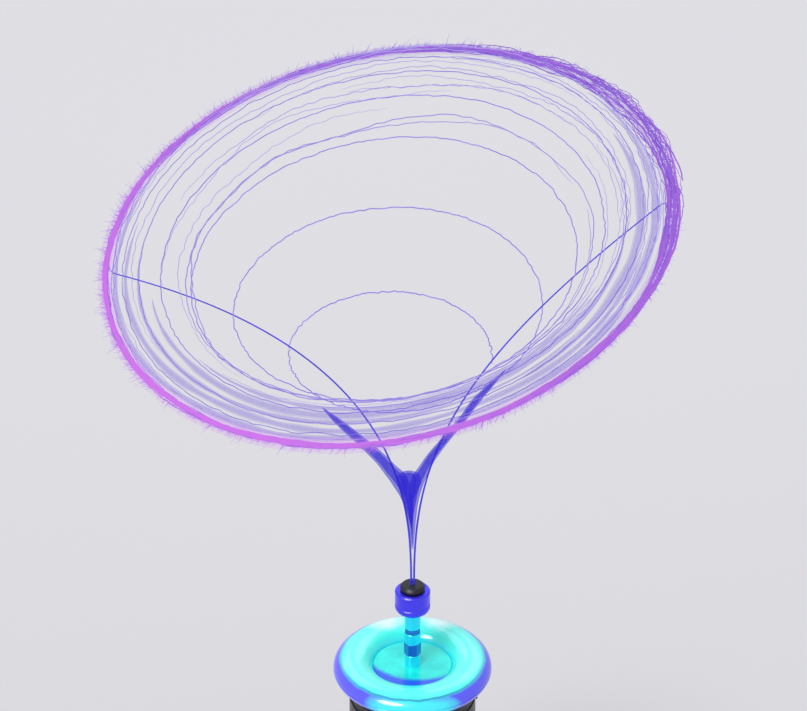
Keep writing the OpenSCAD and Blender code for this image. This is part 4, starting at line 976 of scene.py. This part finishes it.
class RESONATOR_OT_stem(Maker):
    """Finishes the stem, the bearing housing and the bearings"""
    bl_idname = "resonator.stem"
    bl_label = "Stem"

    def make(self, scene):
        # Painted light: the housing's violet stands in for the blue light on its metal
        violet = tuple(scene.resonator_colours.violet)
        deep = tuple(v * 0.8 for v in violet)
        # The last number of each finish is a painted glow; these parts are no lamps
        finish_nodes(anodised("cyan_anodising", "#12c4e2", "#2fdcf2", 0.3, 0.25), "stem_sleeves")
        finish_nodes(anodised("blued_nut", "#1c5cb4", "#2a82d8", 0.34, 0.12), "stem_nuts")
        finish_nodes(anodised("housing_painted_blue_light", deep, violet, 0.3, 0.3), "bearing_housing")
        finish_nodes(ground_steel(), "outer_rings", "inner_rings", "bearing_balls")
        finish_nodes(machined_brass("cage_brass", 0.3), "bearing_cages")
        soften(0.2, "stem_nuts")


class RESONATOR_OT_rotor(Maker):
    """Makes the two wires and finishes the hub"""
    bl_idname = "resonator.rotor"
    bl_label = "Rotor"

    def make(self, scene):
        s = scene.resonator_sizes
        finish_nodes(moulded("turned_black", "#06060c", "#0e0e16", 0.42, 1.0, 0.015),
                     "rotor_hub")
        skin = wire_enamel(scene.resonator_colours.whip)
        for name, side, node in (
            ("blue_wire_left", -1, "left_whip"), ("blue_wire_right", 1, "right_whip"),
        ):
            tubes = Tubes(16)
            tubes.add(*self.wire_line(s, side))
            stands_for(tubes.make(name, skin), "rotor", "blue_enamel_wire", node)

    def wire_line(self, s, side):
        """The wire from its socket in the hub to its bent point, thinner towards the end."""
        reach = wire_ends()[0]
        rings, sunk = 3 * WIRE_RINGS, Vector((0, 0, 3.9 * MM))
        path = [wire_at(i / rings, side, reach) for i in range(rings + 1)]
        bent = [path[-1]]
        way = (bent[0] - wire_at(1 - 1 / WIRE_RINGS, side, reach)).normalized()
        for step in bent_point(side, way):
            bent.append(bent[-1] + step)
        point = smooth_path(bent, 4)[1:]
        radii = [(s.whip_root + (s.whip_tip - s.whip_root) * i / rings) / 2
                 for i in range(rings + 1)]
        radii += [s.whip_tip / 2 * (1 - (1 - POINT_END) * (i + 1) / len(point))
                  for i in range(len(point))]
        return [path[0] - sunk] + path + point, [radii[0]] + radii


# The blur of each wire: height as a share of the wires' rise, distance from the leaning line
# and half width, both in millimetres
BLUR_LEFT = (
    (0.10, 0.6, 0.2), (0.14, 1.1, 1.3), (0.20, 2.5, 3.2), (0.249, 4.8, 4.9), (0.297, 10.4, 7.2),
    (0.330, 18.6, 6.0), (0.362, 26.6, 5.2), (0.406, 40.0, 4.4), (0.472, 61.0, 3.0),
    (0.516, 74.0, 0.3),
)
BLUR_RIGHT = (
    (0.10, 0.4, 0.2), (0.14, 0.4, 1.3), (0.20, 0.4, 3.2), (0.249, 1.4, 4.6), (0.297, 4.8, 5.8),
    (0.330, 10.4, 4.8), (0.362, 16.6, 4.2), (0.406, 27.6, 3.5), (0.472, 45.4, 3.2),
    (0.516, 56.0, 3.4), (0.559, 69.5, 2.2), (0.602, 83.5, 0.3),
)
BLUR_MIDDLE = (
    (0.16, 1.0, 0.3), (0.20, 1.6, 2.6), (0.249, 2.4, 6.4), (0.285, 2.8, 9.4), (0.300, 2.8, 10.6),
    (0.308, 2.8, 9.8), (0.3125, 2.8, 7.0), (0.3145, 2.8, 0.5),
)

# The soft bands inside the ring: share of its radius, from and to turn in degrees, width in mm
BANDS = (
    (0.965, 150, 330, 6.0), (0.925, 165, 345, 7.0), (0.885, 170, 320, 5.0),
    (0.845, 190, 350, 8.0), (0.80, 215, 335, 5.0), (0.95, 290, 400, 7.0),
    (0.90, 300, 385, 9.0),
)

# Where things lie on the ring of light; turn 0 is its right end, a quarter turn its back
BRIGHT_TURN = math.radians(222)
LOOSE_TURN = math.radians(32)
LACE_TURN, LACE_WIDE = math.radians(33), math.radians(30)
SPLIT_TURN, SPLIT_WIDE = math.radians(-38), math.radians(92)


def around(turn, z=0.0, size=1):
    """A place on a circle, to read noise that closes in itself after a turn."""
    return Vector((math.cos(turn) * size, math.sin(turn) * size, z))


def add_strand(tubes, turns, shape, ends=True):
    """Adds a strand; shape gives its point, its radius in millimetres and its glow at a turn."""
    path, radii, level = zip(*map(shape, turns))
    tubes.add(path, [r * MM for r in radii], level=level, ends=ends)


class RESONATOR_OT_discharge(Maker):
    """Draws the ring of light, its streamers, the traces of the spin-up and the wires' blur"""
    # The shapes of strands are in millimetres, off the line that each one follows.
    bl_idname = "resonator.discharge"
    bl_label = "Ring of light"

    def make(self, scene):
        s = scene.resonator_sizes
        c = scene.resonator_colours
        self.random = random.Random(7)
        self.ring_r = s.whip_reach
        self.end_r, self.lift = wire_ends()
        self.trace_end = 1 - (s.light_thick / 2 + 0.8 * MM) / self.ring_r
        self.turns = [TAU * i / 720 for i in range(721)]
        self.make_ring(light_skin("ring_light", tuple(c.ring_dim), tuple(c.ring), 1.0))
        self.make_braid(light_skin("braid_light", "#754fc7", "#bd85f2", 1.0))
        self.make_haze(light_skin("haze_light", "#8057db", "#db80fa", 0.10))
        self.make_streamers(light_skin("streamer_light", "#855cd6", "#c785f5", 1.0),
                            scene.resonator_stage.streamers)
        self.make_trace(light_skin("trace_light", "#806bd6", "#ad99f2", 1.0), s)
        self.make_loops(light_skin("faint_light", "#9e8fe0", "#bdb0f2", 1.0))
        self.make_bands(light_skin("band_light", "#5c45cc", "#8061e6", 0.30))
        self.make_blur(light_skin("blur_light", "#3329cc", tuple(c.whip), 0.46))

    def show(self, tubes, name, material, *nodes):
        """Light rides on the rotor and casts no shadow."""
        made = tubes.make(name, material)
        made.visible_shadow = False
        made.visible_diffuse = False
        stands_for(made, "rotor", "discharge_light", *nodes)

    def on_ring(self, turn, outward=0.0, rise=0.0):
        """A point by the ring of light, some millimetres outward of it and over it. At the back
        the ring hangs in and down a little."""
        hang_in, hang_down = 3.5, 3
        back = max(0.0, math.sin(turn)) ** 2
        return circle_at(turn, self.ring_r + (outward - hang_in * back) * MM, 1.0,
                         self.lift + (rise - hang_down * back) * MM)

    def bright_side(self, turn):
        """The ring is brightest at the lower left and dimmest at the upper right."""
        return 0.5 + 0.5 * math.cos(turn - BRIGHT_TURN)

    def loose_side(self, turn):
        """The ring frays into strands at the upper right and on its right end."""
        return max(0.0, math.cos(turn - LOOSE_TURN)) ** 1.5

    def lace(self, turn):
        """How much the ring opens into lace: most of all at the upper right."""
        away = (turn - LACE_TURN + math.pi) % TAU - math.pi
        return math.exp(-(away / LACE_WIDE) ** 2)

    def split(self, turn):
        """How far the ring's right end is parted in two bands."""
        k = ((turn - SPLIT_TURN + math.pi) % TAU - math.pi) / SPLIT_WIDE
        return math.sin(math.pi * k) ** 0.7 if 0 < k < 1 else 0.0

    def make_ring(self, material):
        """The core: strands that lie close on the lower left and thin out where the ring frays."""
        tubes, count = Tubes(8), 6
        for k in range(count):
            seed = Vector((k * 2.3, 5.1, k * 0.9))

            def shape(turn):
                at, loose, lace = around(turn), self.loose_side(turn), self.lace(turn)
                side = noise.noise(at * 3 + seed) * (2.4 + loose)
                side += noise.noise(at * 26 + seed) * 0.7
                side += self.split(turn) * (7.6 if k % 2 else -0.6) * (1 - 0.5 * lace)
                side += (2 * k / (count - 1) - 1) * 5 * lace
                return (self.on_ring(turn, side, noise.noise(at * 2.6 - seed) * 2.0),
                        1.6 - 0.8 * loose - 0.35 * lace,
                        self.bright_side(turn) + 0.25 * loose * (k % 3 - 0.5))
            add_strand(tubes, self.turns, shape, ends=False)
        self.show(tubes, "light_ring", material, "discharge_ring")

    def make_braid(self, material):
        """Thin strands that wander and cross about the ring, most of all at the upper right,
        where they stand apart and show the ground between them. One more leaves the ring on
        the right and ends free, just outside it."""
        tubes, count = Tubes(5), 16
        for k in range(count):
            seed = Vector((k * 3.1, k * 1.7, 0.3))
            lane = 2 * k / (count - 1) - 1
            own = self.random.uniform(0.0, 0.75)

            def shape(turn):
                at, lace = around(turn), self.lace(turn)
                parted = self.split(turn) * (1 - lace)
                side = lane * (1.5 + 7.4 * lace - 0.9 * parted) + 2.4 * lace
                side += (7.4 if k % 2 else -0.6) * parted
                side += noise.noise(at * 7 + seed) * (2.6 + 7 * lace - 1.2 * parted)
                side += noise.noise(at * 34 + seed) * (0.9 + 1.4 * lace)
                return (self.on_ring(turn, side, noise.noise(at * 5 - seed) * (2.5 + 2 * lace)),
                        0.32 - 0.04 * lace + 0.14 * noise.noise(at * 15 + seed),
                        own * (0.6 + 0.4 * lace) + 0.35 * self.bright_side(turn))
            add_strand(tubes, self.turns, shape, ends=False)

        def loose_end(k):
            jag = noise.noise(Vector((9 * k, 0.5, 7.7))) * 1.2
            turn = math.radians(27 - 22 * k)
            return self.on_ring(turn, 8.5 + 4.5 * k + jag), 0.9 - 0.35 * k, 0.45
        add_strand(tubes, [i / 40 for i in range(41)], loose_end)
        self.show(tubes, "light_braid", material)

    def make_haze(self, material):
        """A glow round the ring, in two layers."""
        tubes = Tubes(16)
        for radius in (3.6, 6.0):
            add_strand(tubes, self.turns[::3], lambda turn: (
                self.on_ring(turn), radius * (0.8 + 0.3 * self.bright_side(turn)),
                self.bright_side(turn)), ends=False)
        self.show(tubes, "light_haze", material)

    def make_streamers(self, material, count):
        """Hair-fine streamers that stand out of the ring and sweep back from its whirl."""
        tubes, root, steps = Tubes(3), 0.32 * MM, 5
        rng = self.random
        out, over, along = lean_axes(1)
        for _ in range(count):
            turn = rng.uniform(0, TAU) if rng.random() < 0.6 else math.radians(rng.gauss(60, 55))
            away = math.cos(turn) * out + math.sin(turn) * over
            sweep = -math.sin(turn) * out + math.cos(turn) * over
            lace = self.lace(turn)
            start = self.on_ring(turn, rng.uniform(-1, 1.5) + 4.5 * lace)
            reach = rng.uniform(3, 7.5 - 2 * lace) * MM
            if rng.random() < 0.3:
                reach = rng.uniform(7, 11.5 - 3.5 * lace) * MM
            way = away + rng.uniform(-1.3, 0.2) * sweep + rng.uniform(-0.6, 0.6) * along
            way.normalize()
            bend = Vector([rng.uniform(-0.3, 0.3) for _ in range(3)])
            path = [start + way * reach * k / 4 + bend * reach * (k / 4) ** 2
                    for k in range(steps)]
            tubes.add(path, [root * (1 - k / steps) for k in range(steps)],
                      Vector((0.3, 0.2, 1)), level=0.2 + 0.6 * self.bright_side(turn), ends=False)
        self.show(tubes, "light_streamers", material)

    def rise_at(self, share):
        """Height, as a share of the wires' rise, of a trace with this share of the ring's
        radius. A trace hangs a little under the wires' bowl inside, and swells over it outside."""
        s = sizes_now()
        hang = 2.2 * MM
        start = s.whip_spacing / 2
        on_wire = ((share * self.ring_r - start) / (self.end_r - start)) ** (1 / WIRE_POWER)
        to_ring = self.trace_end - share
        seat = -hang * to_ring / (self.trace_end - s.trace_start)
        swell = s.trace_swell * max(0.0, share - 0.5) * to_ring
        return on_wire + (seat + swell) / s.whip_rise

    def make_trace(self, material, s):
        """The thin line of light that winds up from the right wire and widens to the ring. Each
        turn's step outward is a share, closing, of the one before."""
        closing, per_turn = 0.755, 240

        def shape(turns):
            share = s.trace_start + ((self.trace_end - s.trace_start) * (1 - closing ** turns)
                                     / (1 - closing ** s.trace_turns))
            at = around(TAU * turns, turns * 2.3, 3)
            jag = noise.noise(at * 5) * 1.2 + noise.noise(at * 16) * 1.1
            return (circle_at(TAU * turns, self.ring_r * share + jag * MM, self.rise_at(share),
                              noise.noise(at * 7) * 0.8 * MM),
                    0.5 - 0.03 * turns, 0.55 + 0.45 * noise.noise(at * 2) - 0.05 * turns)
        tubes = Tubes(6)
        steps = int(per_turn * s.trace_turns) + 1
        add_strand(tubes, [i / per_turn for i in range(steps)], shape)
        self.show(tubes, "light_trace", material, "discharge_trace")

    def make_loops(self, material):
        """Faint passes between the trace's turns, each over part of the round, in small steps.
        The first two lie close together and nearly close, as a double loop."""
        tubes, count = Tubes(4), 150
        rng = self.random
        loops, doubled = 28, 2
        for k in range(loops):
            double = k < doubled
            share = 0.985 - 0.24 * rng.random() ** 1.4
            start = math.radians(rng.uniform(-60, 110)) if k % 4 else rng.uniform(0, TAU)
            sweep = rng.uniform(0.15, 0.5) * TAU
            level = rng.uniform(0.0, 0.8) - double
            if double:
                share, start, sweep = 0.715 + 0.008 * k, 0.4 - 1.6 * k, 0.97 * TAU
            seed = Vector((0.7 * k, 2.9 * k, 1.3))

            def shape(part):
                turn = start + sweep * part
                at = around(turn)
                drift = noise.noise(at * 2 + seed) * 5
                jag = noise.noise(at * 24 + seed) * 1.6
                near = min(share + drift * MM / self.ring_r, self.trace_end)
                return (circle_at(turn, self.ring_r * near + jag * MM, self.rise_at(near),
                                  jag * 0.5 * MM),
                        (0.45 if double else 0.3) * math.sin(math.pi * part) ** 0.3 + 0.05, level)
            add_strand(tubes, [i / count for i in range(count + 1)], shape)
        self.show(tubes, "light_loops", material)

    def make_bands(self, material):
        """Broad soft bands inside the ring, from its left over the front to its right."""
        ribbons, count = Ribbons(), 120
        for share, from_turn, to_turn, wide in BANDS:
            path, widths = [], []
            for k in (i / count for i in range(count + 1)):
                turn = math.radians(from_turn + (to_turn - from_turn) * k)
                at = around(turn, share * 9)
                near = share + noise.noise(at * 2) * 0.012
                path.append(circle_at(turn, self.ring_r * near, self.rise_at(near)))
                full = wide * math.sin(math.pi * k) ** 0.6 * (1 + 0.5 * noise.noise(at * 7))
                widths.append((full + 0.1) * MM)
            for inset in (1.0, 0.55):
                ribbons.add(path, [w * inset for w in widths], lean_axes(1)[2])
        self.show(ribbons, "light_bands", material)

    def make_blur(self, material):
        """The soft blue wishbone that the whirling wires leave on the eye, beside each wire: an
        outer skin and a core, which begins over the fork."""
        tubes = Tubes(14)
        fork, core_grows, thinnest = 0.24, 0.05, 0.1
        for side, profile in ((-1, BLUR_LEFT), (1, BLUR_RIGHT), (-1, BLUR_MIDDLE)):
            for inset, level in ((1.0, 0.4), (0.62, 0.9)):
                line = smooth_path([Vector(p) for p in profile], 10)
                if inset < 1 and profile is not BLUR_MIDDLE:
                    line = [(t, apart, half * min(1, (t - fork) / core_grows))
                            for t, apart, half in line if t > fork]
                add_strand(tubes, line, lambda p: (
                    lean_line(p[0]) + side * p[1] * MM * lean_axes(p[0])[0],
                    max(thinnest, p[2] * inset), level))
        self.show(tubes, "light_blur", material)


class RESONATOR_PT_panel(Panel):
    """Lists the steps that build the transformer"""
    bl_label = "Resonant transformer"
    bl_idname = "RESONATOR_PT_panel"
    bl_space_type = "VIEW_3D"
    bl_region_type = "UI"
    bl_category = "Transformer"

    def draw(self, context):
        for maker in MAKERS:
            self.layout.operator(maker.bl_idname)
        for group in GROUPS:
            settings = getattr(context.scene, group)
            for name in settings.bl_rna.properties.keys():
                if name not in ("rna_type", "name"):
                    self.layout.prop(settings, name)


MAKERS = (
    RESONATOR_OT_stage,
    RESONATOR_OT_cabinet,
    RESONATOR_OT_electronics,
    RESONATOR_OT_panels,
    RESONATOR_OT_primary,
    RESONATOR_OT_secondary,
    RESONATOR_OT_toroid,
    RESONATOR_OT_stem,
    RESONATOR_OT_rotor,
    RESONATOR_OT_discharge,
)
GROUPS = {
    "resonator_sizes": ResonatorSizes,
    "resonator_colours": ResonatorColours,
    "resonator_stage": ResonatorStage,
}
CLASSES = (*GROUPS.values(), *MAKERS, RESONATOR_PT_panel)


def register():
    for cls in CLASSES:
        bpy.utils.register_class(cls)
    for name, cls in GROUPS.items():
        setattr(bpy.types.Scene, name, PointerProperty(type=cls))


def unregister():
    for name in GROUPS:
        delattr(bpy.types.Scene, name)
    for cls in reversed(CLASSES):
        bpy.utils.unregister_class(cls)


def main():
    register()
    for maker in MAKERS:
        getattr(bpy.ops.resonator, maker.bl_idname.split(".")[1])()


if __name__ == "__main__":
    main()
